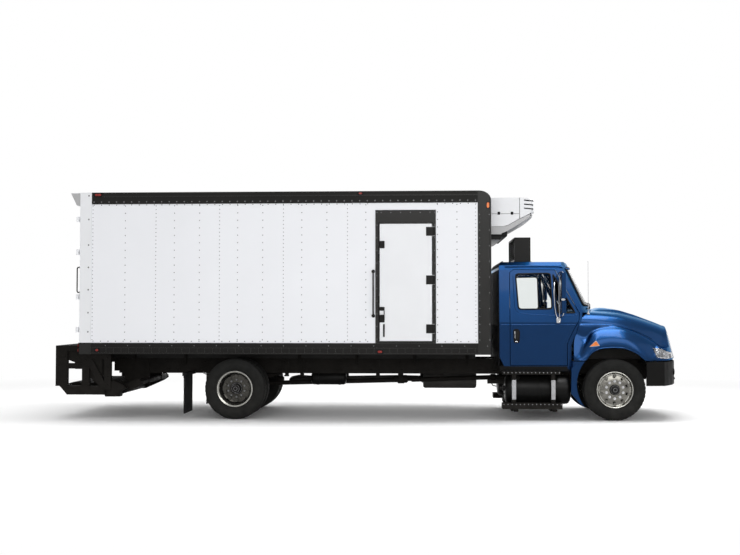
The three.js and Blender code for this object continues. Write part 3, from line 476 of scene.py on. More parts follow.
def tyre(node, x, y, side):
    """One tyre: sidewall, four grooves round the tread, cuts across its shoulders."""
    half = WALL + TREAD
    profile = half + [(a, -b) for a, b in reversed(half[:-1])] + [(289, -60), (284, 0), (289, 60)]
    shoulder = set(range(len(WALL) - 3, len(WALL) + 2))
    shoulder |= {2 * len(half) - 2 - i for i in shoulder}
    if side > 0:
        profile = [(a, -b) for a, b in profile]
    form = Form().lathe(profile, (x, y, HUB_Z), segs=176,
                        notch=lambda i, k: GROOVE if i in shoulder and k % 4 == 0 else 0.0)
    form.done(node + "_piece", TYRE, body_of(node), 32, replaces=node)


def outward(profile, side, drop=0):
    """A wheel's profile facing out on its side, set inward by the drop."""
    return [(r, (out - drop) * -side) for r, out in profile]


def collar(r_in, r_out, low, high):
    """The profile of a plain ring."""
    return [(r_in, low), (r_out, low), (r_out, high), (r_in, high)]


def ring_of_rods(form, centre, side, circle, count, r, reach, segs=12, bevel=0.0):
    """Rods along y, evenly spaced on a circle round the hub."""
    x, y, z = centre
    for i in range(count):
        angle = (i + 0.5) * tau / count
        px, pz = x + circle * cos(angle), z + circle * sin(angle)
        form.rod((px, y + side * reach[0], pz), (px, y + side * reach[1], pz), r, segs, bevel)
    return form


def cut_by(form, cutter):
    """form minus cutter, both in millimetres."""
    pair = [mesh_object(item.bm, "cut") for item in (form, cutter)]
    boolean(*pair, "DIFFERENCE")
    result = evaluated_form(pair[0])
    for obj in pair:
        bpy.data.objects.remove(obj)
    return result


def disc_finish(piece, centre, finish, rim=252, hole=150):
    """The disc inside the rim is duller than the rim, and the walls of its hand holes are painted black as painted
    shade.
    """
    piece.data.materials.append(finish)
    piece.data.materials.append(BLACK)
    hub = TO_ROW @ Vector(centre)
    for polygon in piece.data.polygons:
        away = polygon.center - hub
        radius = math.hypot(away.x, away.z) * 1000
        if radius < rim:
            # faces looking across the axis beyond the hole radius, mostly the hand holes' walls, get black: painted
            # shade in the holes
            polygon.material_index = 2 if abs(polygon.normal.y) < 0.3 and radius > hole else 1


def front_wheel(node, y, side):
    """One front wheel with its nuts and hub."""
    centre, body = (WHEELBASE, y, HUB_Z), body_of(node)
    profile = [(60, 92), (64, 90), (92, 84), (108, 87), (140, 89), (170, 86), (200, 79), (225, 72), (250, 66),
               (262, 66), (270, 73), (276, 85), (282, 97), (288, 104), (293, 108), (299, 110), (301, 113), (299, 117),
               (295, 118), (289, 115), (285, 112), (284, 104), (282, 90), (280, 60), (280, -40), (287, -76),
               (287, -104), (300, -108), (300, -116), (292, -112), (274, -60), (270, -38), (268, 50), (260, 53),
               (225, 58), (200, 64), (178, 68), (140, 71), (95, 69), (60, 68)]
    holes = ring_of_rods(Form(), centre, side, 236, 10, 25, (30, 120), 24)
    piece = cut_by(Form().lathe(outward(profile, side), centre, segs=120), holes)
    disc_finish(piece.done(node + "_piece", ALLOY, body, 30, replaces=node), centre, DISC)
    nuts = ring_of_rods(Form(), centre, side, 143, 10, 17, (86, 106), 6, 1.5)
    ring_of_rods(nuts, centre, side, 143, 10, 11, (100, 116), 14, 2)
    ring_of_rods(nuts, centre, side, 143, 10, 22, (84, 90), 18, 1).done(node + "_nuts", CHROME, body)
    cap = [(0.5, 70), (60, 70), (86, 70), (88, 84), (86, 90), (74, 92), (72, 120), (66, 128), (52, 130), (50, 126),
           (44, 126), (42, 131), (0.5, 132)]
    hub = Form().lathe(outward(cap, side), centre, segs=48)
    ring_of_rods(hub, centre, side, 60, 6, 5, (126, 134), 6)
    hub.lathe(outward(collar(110, 268, 34, 6), side), centre).done(node + "_hub", BLACK, body, slot="black_steel")
    rings = Form()
    for r_in, r_out, out in ((64, 72, 121), (26, 34, 132.5)):
        rings.lathe(outward(collar(r_in, r_out, out, out + 4), side), centre, segs=48)
    rings.done(node + "_hub_rings", ZINC, body)


def rear_wheel(node, side):
    """The outer and the inner wheel of one side, which turn together."""
    centre, body, drop = (0, side * 1077, HUB_Z), body_of(node), 340
    profile = [(84, -56), (110, -60), (150, -66), (190, -69), (222, -66), (238, -58), (247, -40), (249, 20), (252, 56),
               (264, 88), (277, 102), (290, 106), (299, 110), (301, 113), (299, 117), (293, 118), (286, 114),
               (284, 104), (280, 90), (262, 48), (262, -76), (287, -104), (300, -108), (300, -116), (252, -92),
               (225, -84), (190, -82), (110, -76), (84, -74)]
    inner = [(262, 48), (287, 78), (287, 104), (300, 108), (300, 116), (276, 108), (250, 40), (205, 60), (205, 20),
             (84, 20), (84, -20), (238, -20), (250, -50), (300, -116), (300, -108), (287, -104), (262, -76)]
    holes = ring_of_rods(Form(), centre, side, 203, 10, 29, (-110, -40), 20)
    piece = cut_by(Form().lathe(outward(profile, side), centre, segs=120), holes)
    piece.lathe(outward(inner, side, drop), centre, segs=96)
    piece.lathe(outward(collar(140, 165, -84, 60 - drop), side), centre)
    # the rear disc takes the darker finish: painted shade and a painted reflection in its dish
    disc_finish(piece.done(node + "_piece", ALLOY, body, 30, replaces=node), centre, REAR_DISC_PAINTED_SHADE)
    cap = [(0.5, -70), (100, -70), (104, -52), (100, -46), (86, -44), (80, 30), (76, 44), (66, 52), (58, 52), (56, 46),
           (40, 46), (38, 54), (0.5, 55)]
    hub = Form().lathe(outward(cap, side), centre, segs=56).lathe(outward(collar(112, 240, -98, -122), side), centre)
    ring_of_rods(hub, centre, side, 60, 8, 6, (46, 60), 6).done(node + "_hub", STEEL, body)
    nuts = ring_of_rods(Form(), centre, side, 143, 10, 17, (-66, -40), 6, 1.5)
    ring_of_rods(nuts, centre, side, 143, 10, 11, (-44, -28), 14, 2).done(node + "_nuts", ZINC, body)
    rings = Form()
    for r_in, r_out, out in ((84, 92, -45), (60, 66, 51), (26, 33, 54)):
        rings.lathe(outward(collar(r_in, r_out, out, out + 3), side), centre, segs=48)
    rings.done(node + "_hub_rings", ZINC, body)


for side, hand in SIDES:
    tyre("tyre_front_" + hand, WHEELBASE, side * 1012, side)
    tyre("tyre_rear_outer_" + hand, 0, side * 1077, side)
    tyre("tyre_rear_inner_" + hand, 0, side * 737, side)
    front_wheel("wheel_front_" + hand, side * 1012, side)
    rear_wheel("wheels_rear_" + hand, side)


# ------------------------------------------------------------------ hood and fenders
def pchip(knots, x):
    """Monotone cubic through (x, value...) knots."""
    k = len(knots)
    x = min(max(x, knots[0][0]), knots[-1][0])
    i = max(j for j in range(k - 1) if x >= knots[j][0] or j == 0)
    out = []
    h = [knots[j + 1][0] - knots[j][0] for j in range(k - 1)]
    for c in range(1, len(knots[0])):
        d = [(knots[j + 1][c] - knots[j][c]) / h[j] for j in range(k - 1)]

        def slope(j):
            if j == 0:
                return d[0]
            if j == k - 1:
                return d[-1]
            if d[j - 1] * d[j] <= 0:
                return 0.0
            w1, w2 = 2 * h[j] + h[j - 1], h[j] + 2 * h[j - 1]
            return (w1 + w2) / (w1 / d[j - 1] + w2 / d[j])

        out.append(hermite(knots[i][c], knots[i + 1][c], slope(i) * h[i], slope(i + 1) * h[i],
                           (x - knots[i][0]) / h[i]))
    return out


def hermite(a, b, m0, m1, t):
    """The cubic from a to b with slopes m0 and m1, at t from 0 to 1."""
    return a * (1 + 2 * t) * (1 - t) ** 2 + m0 * t * (1 - t) ** 2 + b * t * t * (3 - 2 * t) + m1 * t * t * (t - 1)


# Lines along the hood, parted by semicolons, from the middle outward. Each goes from the cowl to the nose in
# steps of x,half-width,z.
HOOD_LINES = [[tuple(map(int, spot.split(","))) for spot in line.split()] for line in """
    6085,0,1818 6150,0,1848 6215,0,1864 6421,0,1846 6713,0,1772 6957,0,1686 7180,0,1603 7285,0,1560;
    6062,210,1817 6150,210,1847 6215,210,1862 6421,205,1843 6713,198,1769 6957,190,1683 7180,180,1600 7282,178,1557;
    6036,400,1813 6150,398,1832 6421,385,1828 6713,370,1757 6957,350,1671 7180,330,1586 7272,324,1545;
    6014,500,1806 6150,485,1804 6421,455,1790 6713,430,1725 6957,405,1648 7180,385,1568 7260,380,1532;
    5960,700,1797 6150,690,1788 6421,660,1764 6713,620,1694 6957,580,1612 7150,545,1537 7232,532,1500;
    5850,860,1770 6050,850,1762 6300,828,1740 6500,800,1708 6713,752,1650 6957,695,1562 7120,655,1492 7205,640,1452;
    5806,940,1722 6050,928,1715 6300,906,1690 6500,876,1654 6713,828,1592 6957,765,1497 7110,724,1424 7180,710,1388;
    5775,985,1650 6050,972,1643 6300,952,1618 6500,922,1582 6713,874,1520 6957,808,1418 7100,768,1340 7160,754,1302;
    5750,990,1592 6050,984,1590 6300,966,1578 6500,938,1545 6713,890,1485 6957,826,1382 7096,786,1300 7150,770,1264;
    5744,1003,1578 6000,1000,1578 6270,982,1566 6460,955,1534 6713,902,1462 6957,838,1350 7092,798,1268 7140,783,1236;
    5722,1006,1520 5850,1007,1460 5950,1005,1506 6088,1002,1546 6260,990,1556 6420,976,1540
        6604,946,1486 6831,892,1385 7001,848,1290 7085,822,1232 7130,808,1204;
    5700,1002,1440 5833,1004,1362 5950,1006,1464 6088,1006,1521 6260,1004,1538 6420,996,1528
        6604,972,1479 6831,927,1380 7001,890,1283 7070,902,1230 7105,890,1204;
    5668,1014,1370 5833,1042,1300 5950,1060,1418 6088,1066,1476 6260,1067,1491 6420,1061,1482
        6604,1039,1433 6831,996,1334 7001,956,1238 7052,998,1206 7080,988,1182;
    5648,1042,1280 5760,1066,1216 5900,1098,1313 6050,1117,1393 6260,1121,1416 6430,1116,1405
        6620,1097,1348 6831,1058,1251 6980,1022,1168 7022,1050,1144 7042,1042,1124;
    5640,1086,1150 5720,1106,1090 5850,1136,1200 6010,1156,1300 6260,1160,1342 6450,1156,1330
        6620,1144,1262 6790,1120,1150 6910,1086,1080 6985,1070,1056 7010,1058,1048;
    5634,1112,1040 5700,1144,1020 5830,1162,1052 5930,1168,1160 6090,1172,1236 6260,1174,1252 6407,1173,1246
        6540,1168,1210 6670,1158,1145 6790,1140,1058 6860,1120,1024 6980,1078,1014 6995,1070,1012;
    5632,1119,987 5700,1150,987 5806,1165,987 5903,1169,1095 5980,1171,1148 6077,1172,1181 6260,1173,1197
        6407,1172,1192 6532,1168,1158 6659,1160,1098 6771,1146,1010 6805,1138,988 6900,1105,986 6985,1073,986
    """.split(";")]
ARCH_LINE, CREASE_LINE = HOOD_LINES[-1], HOOD_LINES[9]
# the grille's edge, one (half-width, z) for each line of the hood
GRILLE_LINE = ((0, 1490), (130, 1490), (250, 1490), (330, 1466), (398, 1440), (402, 1404), (406, 1366), (410, 1326),
               (413, 1288), (416, 1258), (419, 1222), (422, 1186), (425, 1150), (428, 1116), (432, 1080), (436, 1044),
               (440, 1010))
STATIONS = 56             # rings along the hood
NOSE_STEPS = (0.035, 0.09, 0.18, 0.4, 0.7, 1.0)  # and from its front edge to the grille
NOSE, SWEEP = 7455, 260   # the middle of the nose's curve in plan, and how far back it is one metre out
GRILLE_FOOT, GRILLE_LEAN = 985, 0.249  # where the grille starts to lean back, and by how much per mm of height
HOOD_SKIN, LENS_SKIN = 16, 5


def bumper_x(y):
    """The curve of the truck's nose in plan."""
    return NOSE - SWEEP * (abs(y) / 1000) ** 2.5


def nose_x(y, z):
    """The grille's face, which leans back from the bumper."""
    return bumper_x(y) - GRILLE_LEAN * (z - GRILLE_FOOT)


def across(points, steps=3):
    """A smooth curve through (x, y, z) points, from the middle line outward."""
    out = []
    n = len(points)
    for i in range(n - 1):
        p0 = points[i - 1] if i else Vector((points[1].x, -points[1].y, points[1].z))
        p1, p2 = points[i], points[i + 1]
        p3 = points[i + 2] if i + 2 < n else p2 * 2 - p1
        t1, t2 = (p2 - p0) * 0.5, (p3 - p1) * 0.5
        reach = (p2 - p1).length
        for t in (t1, t2):
            if t.length > reach:
                t.length = reach
        out += [hermite(p1, p2, t1, t2, k / steps) for k in range(steps)]
    return out + [points[-1]]


def hood_rings():
    """Rings of points from the cowl to the hood's front edge, then to the grille's edge."""
    rings = []
    for k in range(STATIONS + 1):
        t = k / STATIONS
        t = min(1.0, t + 0.06 * sin(math.pi * t) * (1 if t > 0.5 else 0.4))
        stops = [line[0][0] + t * (line[-1][0] - line[0][0]) for line in HOOD_LINES]
        rings.append(across([Vector((x, *pchip(line, x))) for x, line in zip(stops, HOOD_LINES)]))
    for s in NOSE_STEPS:
        points = []
        for line, (gy, gz) in zip(HOOD_LINES, GRILLE_LINE):
            ex, ey, ez = line[-1]
            y, z = ey + (gy - ey) * s, ez + (gz - ez) * s
            points.append(Vector(((nose_x(y, z) + ex) / 2 + 8 if s == NOSE_STEPS[0] else nose_x(y, z), y, z)))
        rings.append(across(points))
    return rings


def skin_object(rings):
    """An open surface through rings of points on the left half, mirrored to the right."""
    bm = bmesh.new()
    for flip in (1, -1):
        rows = [[bm.verts.new((p.x, p.y * flip, p.z)) for p in ring] for ring in rings]
        for a, b in zip(rows, rows[1:]):
            for i in range(len(a) - 1):
                quad = (a[i], b[i], b[i + 1], a[i + 1])
                bm.faces.new(quad if flip > 0 else tuple(reversed(quad)))
    bmesh.ops.remove_doubles(bm, verts=bm.verts, dist=0.5)
    return mesh_object(bm, "skin")


def shaped(rings, thickness, cutter, operation):
    """The hood's skin made solid and cut, as a Form."""
    skin, tool = skin_object(rings), mesh_object(cutter.bm, "cutter")
    solid = skin.modifiers.new("thick", "SOLIDIFY")
    solid.thickness, solid.offset, solid.use_even_offset = thickness, -1, False
    boolean(skin, tool, operation)
    result = evaluated_form(skin)
    for obj in (skin, tool):
        bpy.data.objects.remove(obj)
    return result


def lamp_outline(grow):
    """The headlamp's outline from the side, grown all round."""
    return [(6938 - 2 * grow, 1197 + grow), (6990 - grow, 1050 - grow), (7080, 1018 - grow), (7420, 1018 - grow),
            (7420, 1096 + grow), (7185, 1136 + grow), (7080, 1186 + grow)]


rings = hood_rings()
lamp_hole = Form().prism(lamp_outline(0), "y", (-1300, -560), 0)
hood = shaped(rings, HOOD_SKIN, lamp_hole.take(lamp_hole.mirrored()), "DIFFERENCE").done(
    "hood_piece", BLUE, "hood", 40, replaces="hood")
lamp_plug = Form().prism(lamp_outline(-4), "y", (-1300, -566), 0)
shaped(rings, LENS_SKIN, lamp_plug, "INTERSECT").pair("headlamp_lens", LENS, HOODS, replaces="headlamp")
hood_tree = BVHTree.FromPolygons([FROM_ROW @ v.co for v in hood.data.vertices],
                                 [tuple(p.vertices) for p in hood.data.polygons])


def on_hood(point, way):
    """The first place on the hood from a point along a way."""
    return hood_tree.ray_cast(Vector(point), Vector(way).normalized())[0]


# ------------------------------------------------------------------ load box: panels, rails, fasteners
SIDE = 1285            # outer face of the side panels
RAIL_Y = 1295          # outer face of the rails and posts
DOOR_SPAN = (2350, 3362)
DENSE = (-2396, -1325, -250, 822, 1892, 4012)                       # panel joints and edges
SPARSE = (-1845, -1012, -588, 54, 475, 1129, 1548, 2196, 2790, 3383, 3704)


def clear_of_door(side, x):
    """False only where the side door takes the place of the right panel."""
    return side > 0 or not DOOR_SPAN[0] < x < DOOR_SPAN[1]


for side, hand in SIDES:
    out = (0, side, 0)
    spots = [(x, side * SIDE, z) for places, pitch in ((DENSE, 64), (SPARSE, 127)) for x in places
             if clear_of_door(side, x) for z in row(1330, 3570, pitch)]
    spots += [(x, side * SIDE, z) for z in (1303, 3586) for x in row(-2380, 4020, 127) if clear_of_door(side, x)]
    Form().domes(spots, out, 9, 4.5).done("panel_rivets_" + hand, ZINC, smooth=60, slot="dark_trim")

    joints = Form()
    for x0, x1, proud in [(x - 21, x + 21, 1.6) for x in DENSE[1:-1]] + [(4000, 4044, 2.5), (-2415, -2378, 2.5)]:
        joints.block((x0, x1), off(side, SIDE - 1, SIDE + proud), (1278, 3598), 1.0)
    joints.done("panel_joints_" + hand, WHITE)

    beads = Form()
    for x0, low, high, proud in ((-2412, 3722, 3740, 5), (-2412, 3600, 3612, 5), (-2412, 3784, 3796, 3),
                                 (-2600, 1188, 1198, 5), (-2600, 1262, 1276, 4), (-2600, 1098, 1110, 5)):
        beads.block((x0, 4050), off(side, RAIL_Y - 3, RAIL_Y + proud), (low, high), 2)
    beads.done("rail_beads_" + hand, RAIL)
    ribs = Form()
    for x in row(-2540, 4000, 127):
        ribs.block((x - 5, x + 5), off(side, RAIL_Y - 3, RAIL_Y + 5), (1112, 1186), 1.5)
    ribs.done("rub_rail_ribs_" + hand, RAIL)
    face = side * RAIL_Y
    pins = Form().domes([(x, face, 3637) for x in row(-2380, 4010, 127)], out, 11, 5)
    pins.domes([(x, face, z) for x, pitch in ((4073, 127), (4236, 254)) for z in row(1330, 3400, pitch)], out, 9, 4.5)
    pins.domes([(x, face, 1230) for x in row(-2540, 4200, 381)], out, 8)
    pins.done("rail_rivets_" + hand, ZINC, smooth=60, slot="dark_trim")

    # front post: seams of the corner casting and a raised inner flange
    post = Form()
    for x, proud, z, bevel in (((4050, 4235), 3, (3452, 3466), 1.5), ((4050, 4062), 4, (1100, 3598), 1.5),
                               ((4090, 4235), 2, (1290, 3440), 2)):
        post.block(x, off(side, RAIL_Y - 2, RAIL_Y + proud), z, bevel)
    post.done("front_post_trim_" + hand, RAIL)

    base, red, orange = Form(), Form(), Form()
    for x0, x1, z0, z1 in ((-2374, -2243, 3726, 3786), (2066, 2150, 3734, 3786), (-2344, -2270, 1124, 1184),
                           (2382, 2481, 1104, 1164)):
        base.block((x0 - 6, x1 + 6), off(side, RAIL_Y - 2, RAIL_Y + 8), (z0 - 5, z1 + 5))
        red.block((x0 + 14, x1 - 14), off(side, RAIL_Y, RAIL_Y + 18), (z0 + 12, z1 - 12), 8)
    base.block((4190, 4240), off(side, RAIL_Y - 2, RAIL_Y + 7), (3500, 3606))
    orange.block((4196, 4234), off(side, RAIL_Y, RAIL_Y + 22), (3508, 3598), 12)
    base.done("marker_bases_" + hand, TRIM)
    red.done("marker_lenses_red_" + hand, RED)
    orange.done("marker_lenses_amber_" + hand, AMBER)

# rear frame: bolts down the corner posts, edges, visor cheeks, tail lamps
FRAME_BACK = -2613
bolts, seams, visor = Form(), Form(), Form()
for side, _ in SIDES:
    bolts.domes([(-2465, side * RAIL_Y, z) for z in (3744, 3344, 2915, 2539, 2164, 1779, 1459)], (0, side, 0), 14, 7)
    seams.blocks((((-2609, -2598), off(side, 1293, 1299), (1095, 3790)),
                  ((-2428, -2420), off(side, 1293, 1299), (1280, 3598))), 1.5)
    visor.prism([(-2604, 3790), (-2785, 3790), (-2690, 3592), (-2604, 3572)], "y",
                off(side, 1240.0192, 1244), 1)
bolts.domes([(FRAME_BACK, y, z) for y in (-1240, 1240) for z in row(1330, 3500, 310)], (-1, 0, 0), 11, 6)
bolts.done("rear_frame_bolts", ZINC, smooth=60, slot="dark_trim")
seams.done("rear_frame_edges", WHITE_TRIM)
visor.done("visor_cheeks", GREY_SHELL)
lamps, cups = Form(), Form()
for y, z, r, segs, reach, bevel in ([(y, 3655, 27, 28, -2636, 6) for y in (-1080, -140, 0, 140, 1080)]
                                    + [(y, z, 44, 36, -2640, 8) for y in (-1240, 1240) for z in (1150, 1235)]):
    cups.rod((FRAME_BACK, y, z), (FRAME_BACK - 11, y, z), r + (7 if r < 30 else 8), segs, 3)
    lamps.rod((-2620, y, z), (reach, y, z), r, segs, bevel)
cups.done("tail_lamp_cups", TRIM)
lamps.done("tail_lamps", RED)

# rear doors: gaskets, cam bars in brackets, handles, hinge bolts
REAR = -2617
for side, hand in SIDES:
    body = "rear_door_" + hand
    gasket, bars, caps = Form(), Form(), Form()
    for y0, y1, z0, z1 in ((12, 28, 1312, 3545), (1160, 1176, 1312, 3545), (28, 1160, 1312, 1328),
                           (28, 1160, 3529, 3545)):
        gasket.block((REAR - 5, REAR + 3), off(side, y0, y1), (z0, z1), 2.5)
    gasket.done("rear_door_gasket_" + hand, RUBBER, body)
    for y in (250, 620):
        for z in (1500, 2050, 2820, 3320):
            bars.block((REAR - 34, REAR + 1), off(side, y - 34, y + 34), (z, z + 46), 5)
        for z in (1345, 3470):
            bars.block((REAR - 26, REAR + 1), off(side, y - 46, y + 46), (z, z + 70), 6)
        bars.tube([(REAR - 20, side * y, 1990), (REAR - 34, side * (y + 60), 1990),
                   (REAR - 36, side * (y + 330), 1985)], 10, 12)
        bars.block((REAR - 40, REAR - 4), off(side, y + 318, y + 350), (1958, 2012), 6)
    bars.done("rear_door_bars_" + hand, ZINC, body)
    for z in (1450, 2000, 2750, 3300):
        caps.domes([(REAR - 14, side * y, z + dz) for y in (1090, 1160, 1230) for dz in (22, 68)], (-1, 0, 0), 9, 5)
    caps.done("rear_door_bolts_" + hand, ZINC, body, 60)

grips = Form()
for side, _ in SIDES:
    y = side * 1272
    grips.tube([(-2616, y, 2540), (-2650, y, 2540), (-2662, y, 2520), (-2662, y, 2140), (-2650, y, 2120),
                (-2616, y, 2120)], 11, 12)
    for z in (2120, 2540):
        grips.rod((-2612, y, z), (-2618, y, z), 26, 24, 2)
grips.done("rear_grab_bars", BLACK, smooth=60)

# ------------------------------------------------------------------ side door of the load box
FACE = -1292


def door_edges(name, mat, rows, low, high, bevel, body="side_door"):
    """Strips on the side door or round it, each (x0, x1, z0, z1)."""
    Form().blocks([((x0, x1), (low, high), (z0, z1)) for x0, x1, z0, z1 in rows], bevel).done(name, mat, body)


door_edges("side_door_inner_edge", WHITE_TRIM, ((2434, 2440, 1334, 3228), (3264, 3270, 1334, 3228),
                                                (2440, 3264, 1334, 1340), (2440, 3264, 3222, 3228)), -1296, -1291, 1.5)
door_edges("side_door_seal", RUBBER, ((2420, 2427, 1306, 3257), (3290, 3297, 1306, 3257), (2427, 3290, 1305, 1312),
                                      (2427, 3290, 3250, 3257)), -1294, -1291, 1)
hinge = Form()
for z in (1437, 2244, 3046):
    hinge.block((3193, 3318), (FACE - 19, FACE - 13), (z + 3, z + 151), 3)
    hinge.rod((3330, -1312, z + 2), (3330, -1312, z + 152), 13, 18, 2)
    hinge.domes([(x, FACE - 19, z + dz) for x in (3220, 3275) for dz in (34, 77, 120)], (0, -1, 0), 8)
hinge.done("side_door_hinges", BLACK, "side_door", 50)
latch = Form()
for x, proud, sunk, z, bevel in (((2424, 2508), 18, -1, (2846, 2968), 5), ((2440, 2490), 27, 14, (2868, 2946), 6),
                                 ((2424, 2508), 18, -1, (1812, 1874), 5), ((2424, 2508), 18, -1, (1620, 1746), 5),
                                 ((2440, 2490), 27, 14, (1642, 1724), 6), ((2482, 2510), 16, -1, (1378, 1592), 5)):
    latch.block(x, (FACE - proud, FACE - sunk), z, bevel)
latch.rod((2465, FACE - 14, 2907), (2465, FACE - 30, 2907), 17, 24, 3)
latch.tube([(2496, FACE - 12, 1832), (2502, FACE - 22, 1800), (2500, FACE - 23, 1700)], 7, 12)
latch.done("side_door_latches", BLACK, "side_door", 50)
grab = Form().tube([(2320, -1296, 2462), (2320, -1322, 2462), (2320, -1336, 2440), (2320, -1336, 1750),
                    (2320, -1322, 1728), (2320, -1296, 1728)], 13, 14)
for z in (1728, 2462):
    grab.rod((2320, -1290, z), (2320, -1300, z), 30, 28, 3)
    grab.rod((2320, -1318, z - 16), (2320, -1318, z + 16), 22, 20, 8)
grab.done("side_grab_bar", BLACK, smooth=60)
edge = Form().blocks([((x0, x1), (-1299, -1292), (z0, z1)) for x0, x1, z0, z1 in (
    (2357, 2366, 1300, 3478), (3345, 3354, 1300, 3478), (2366, 3345, 3469, 3478), (2400, 3310, 3272, 3282))], 2)
edge.block((2400, 3310), (-1304, -1280), (1283, 1297)).done("side_door_frame_edges", RAIL)
spots = [(x, -1295, z) for x in (2380, 3338) for z in row(1340, 3440, 210)]
spots += [(x, -1295, 3440) for x in row(2450, 3260, 160)]
Form().domes(spots, (0, -1, 0), 8).done("side_door_frame_bolts", ZINC, smooth=60, slot="dark_trim")

# ------------------------------------------------------------------ cab
BELT, HALF = 1620, 1000   # height of the waist line, and the cab's half-width below it
FOOT_X, FOOT_Z = 6050, 1855  # the middle of the windshield's foot
SHIELD_LEAN, SHIELD_CURVE = 0.512, 220  # back per mm of height, and back at 900 mm out


def side_y(z, out=0.0):
    """The right side of the cab at height z, moved out by a little."""
    return -(HALF - max(0.0, z - BELT) * 75 / 880 + out)


def on_side(points, out=0.0):
    """(x, z) points laid on the cab's right side."""
    return [(x, side_y(z, out), z) for x, z in points]


def softened(points, radius, steps=4):
    """A closed outline with its corners rounded."""
    made = []
    n = len(points)
    for i in range(n):
        a, b, c = (Vector(points[(i + k) % n]) for k in (-1, 0, 1))
        back, ahead = (a - b), (c - b)
        reach = min(radius, back.length * 0.45, ahead.length * 0.45)
        start, end = b + back.normalized() * reach, b + ahead.normalized() * reach
        for k in range(steps + 1):
            t = k / steps
            made.append(tuple(start * (1 - t) ** 2 + b * 2 * t * (1 - t) + end * t ** 2))
    return made


def windshield_x(y, z, out=0.0):
    """The windshield's face, curved in plan and leaning back."""
    return FOOT_X - SHIELD_CURVE * (y / 900) ** 2 - SHIELD_LEAN * (z - FOOT_Z) + out


def on_windshield(points, out=0.0):
    """(y, z) points laid on the windshield."""
    return [(windshield_x(y, z, out), y, z) for y, z in points]


def spread(points, step):
    """The closed outline with more points along each side."""
    made = []
    for a, b in zip(points, points[1:] + points[:1]):
        a, b = Vector(a), Vector(b)
        count = max(1, int((b - a).length / step))
        made += [tuple(a.lerp(b, i / count)) for i in range(count)]
    return made


for pane, name, r in ((((4694, 2428), (4738, 1836), (5298, 1840), (5274, 2440)), "door_window_rubber", 60),
                      (((5317, 2426), (5676, 1776), (5386, 1776)), "vent_window_rubber", 26)):
    line = softened(pane, r, 5)
    rubber = Form().tube(on_side(line, -2), 13, closed=True).tube(on_side(line, -30), 12, closed=True)
    rubber.pair(name, RUBBER, DOORS, 60)
Form().tube(on_side([(4652, 2400), (4662, 2130), (4676, 1880), (4700, 1816), (4765, 1771), (4958, 1747), (5324, 1731),
                     (5520, 1728), (5660, 1734), (5724, 1752), (5736, 1776), (5718, 1810), (5560, 2090),
                     (5360, 2466)], -1), 6).pair("door_belt_moulding", BLUE, DOORS, 60)
Form().tube(on_side([(4612, 1577), (5160, 1577), (5680, 1577)], -1), 6.5).pair("door_crease", BLUE, DOORS, 60)
Form().tube(on_side([(4436, 1577), (4588, 1577)], -1), 6.5).pair("cab_corner_crease", BLUE, smooth=60)
Form().prism(softened([(4646, 1500), (4652, 1282), (4700, 1264), (4752, 1282), (4762, 1470), (4722, 1514)], 30), "y",
             (-1003, -995)).pair("door_handle_dish", TRIM, DOORS)
paddle = Form().prism(softened([(4664, 1484), (4668, 1330), (4730, 1330), (4742, 1478)], 18), "y", (-1014, -1001), 4)
paddle.rod((4700, -1002, 1298), (4700, -1010, 1298), 15, 28, 3).pair("door_handle", BLACK, DOORS)
grip = Form().tube([(4672, -1008, 1470), (4672, -1018, 1450), (4676, -1018, 1370), (4676, -1008, 1350)], 5)
grip.tube([(4680, -1008, 1300), (4720, -1014, 1292)], 4).pair("door_handle_bright", CHROME, DOORS, 60)

# mirrors on the doors: housings, glass, bezel, arms and foot
for side, hand in SIDES:
    body = "cab_door_" + hand
    plan = softened([(x, side * y) for x, y in ((5402, 1148), (5402, 1352), (5440, 1358), (5484, 1330), (5490, 1250),
                                                (5480, 1160))], 26)
    shell, pane, bezel, arms = Form(), Form(), Form(), Form()
    for low, high in ((2013, 2440), (1771, 1978)):
        shell.prism(plan, "z", (low, high), 14)
    shell.done("mirror_housing_" + hand, BLUE, body, replaces="mirror_" + hand)
    for low, high in ((2032, 2420), (1790, 1960)):
        pane.block((5399.5, 5404), off(side, 1166, 1338), (low, high), 1.5)
    pane.done("mirror_glass_" + hand, CHROME, body)
    for low, high in ((2024, 2430), (1782, 1968)):
        bezel.block((5400.5, 5410), off(side, 1156, 1347), (low, high), 2)
    bezel.done("mirror_bezel_" + hand, TRIM, body)
    arms.block((5414, 5474), off(side, 1200, 1290), (1976, 2015), 12)
    arms.tube(sided(side, (5452, 1245, 2436), (5430, 1215, 2455), (5396, 1150, 2448), (5372, 1060, 2400),
                    (5352, 1000, 2330), (5346, 958, 2300)), 7, 12)
    arms.tube(sided(side, (5346, 950, 2296), (5330, 1010, 2240), (5322, 1030, 2100), (5330, 1036, 1900),
                    (5352, 1034, 1760), (5386, 1012, 1668)), 7, 12)
    arms.tube(sided(side, (5450, 1245, 1772), (5444, 1245, 1738), (5424, 1180, 1712), (5400, 1080, 1690),
                    (5388, 1010, 1668)), 8, 12)
    arms.tube(sided(side, (5408, 1150, 2446), (5392, 1130, 2200), (5392, 1120, 1900), (5404, 1110, 1700)), 6, 12)
    arms.done("mirror_arms_" + hand, CHROME, body, 60)
    foot = Form().prism(softened([(5366, 1608), (5362, 1684), (5380, 1710), (5416, 1704), (5436, 1662), (5424, 1610)],
                                 14), "y", off(side, 994, 1022), 8)
    foot.domes(sided(side, (5378, 1022, 1688), (5412, 1022, 1634)), (0, side, 0), 9, 6)
    foot.done("mirror_foot_" + hand, CHROME, body, 45)
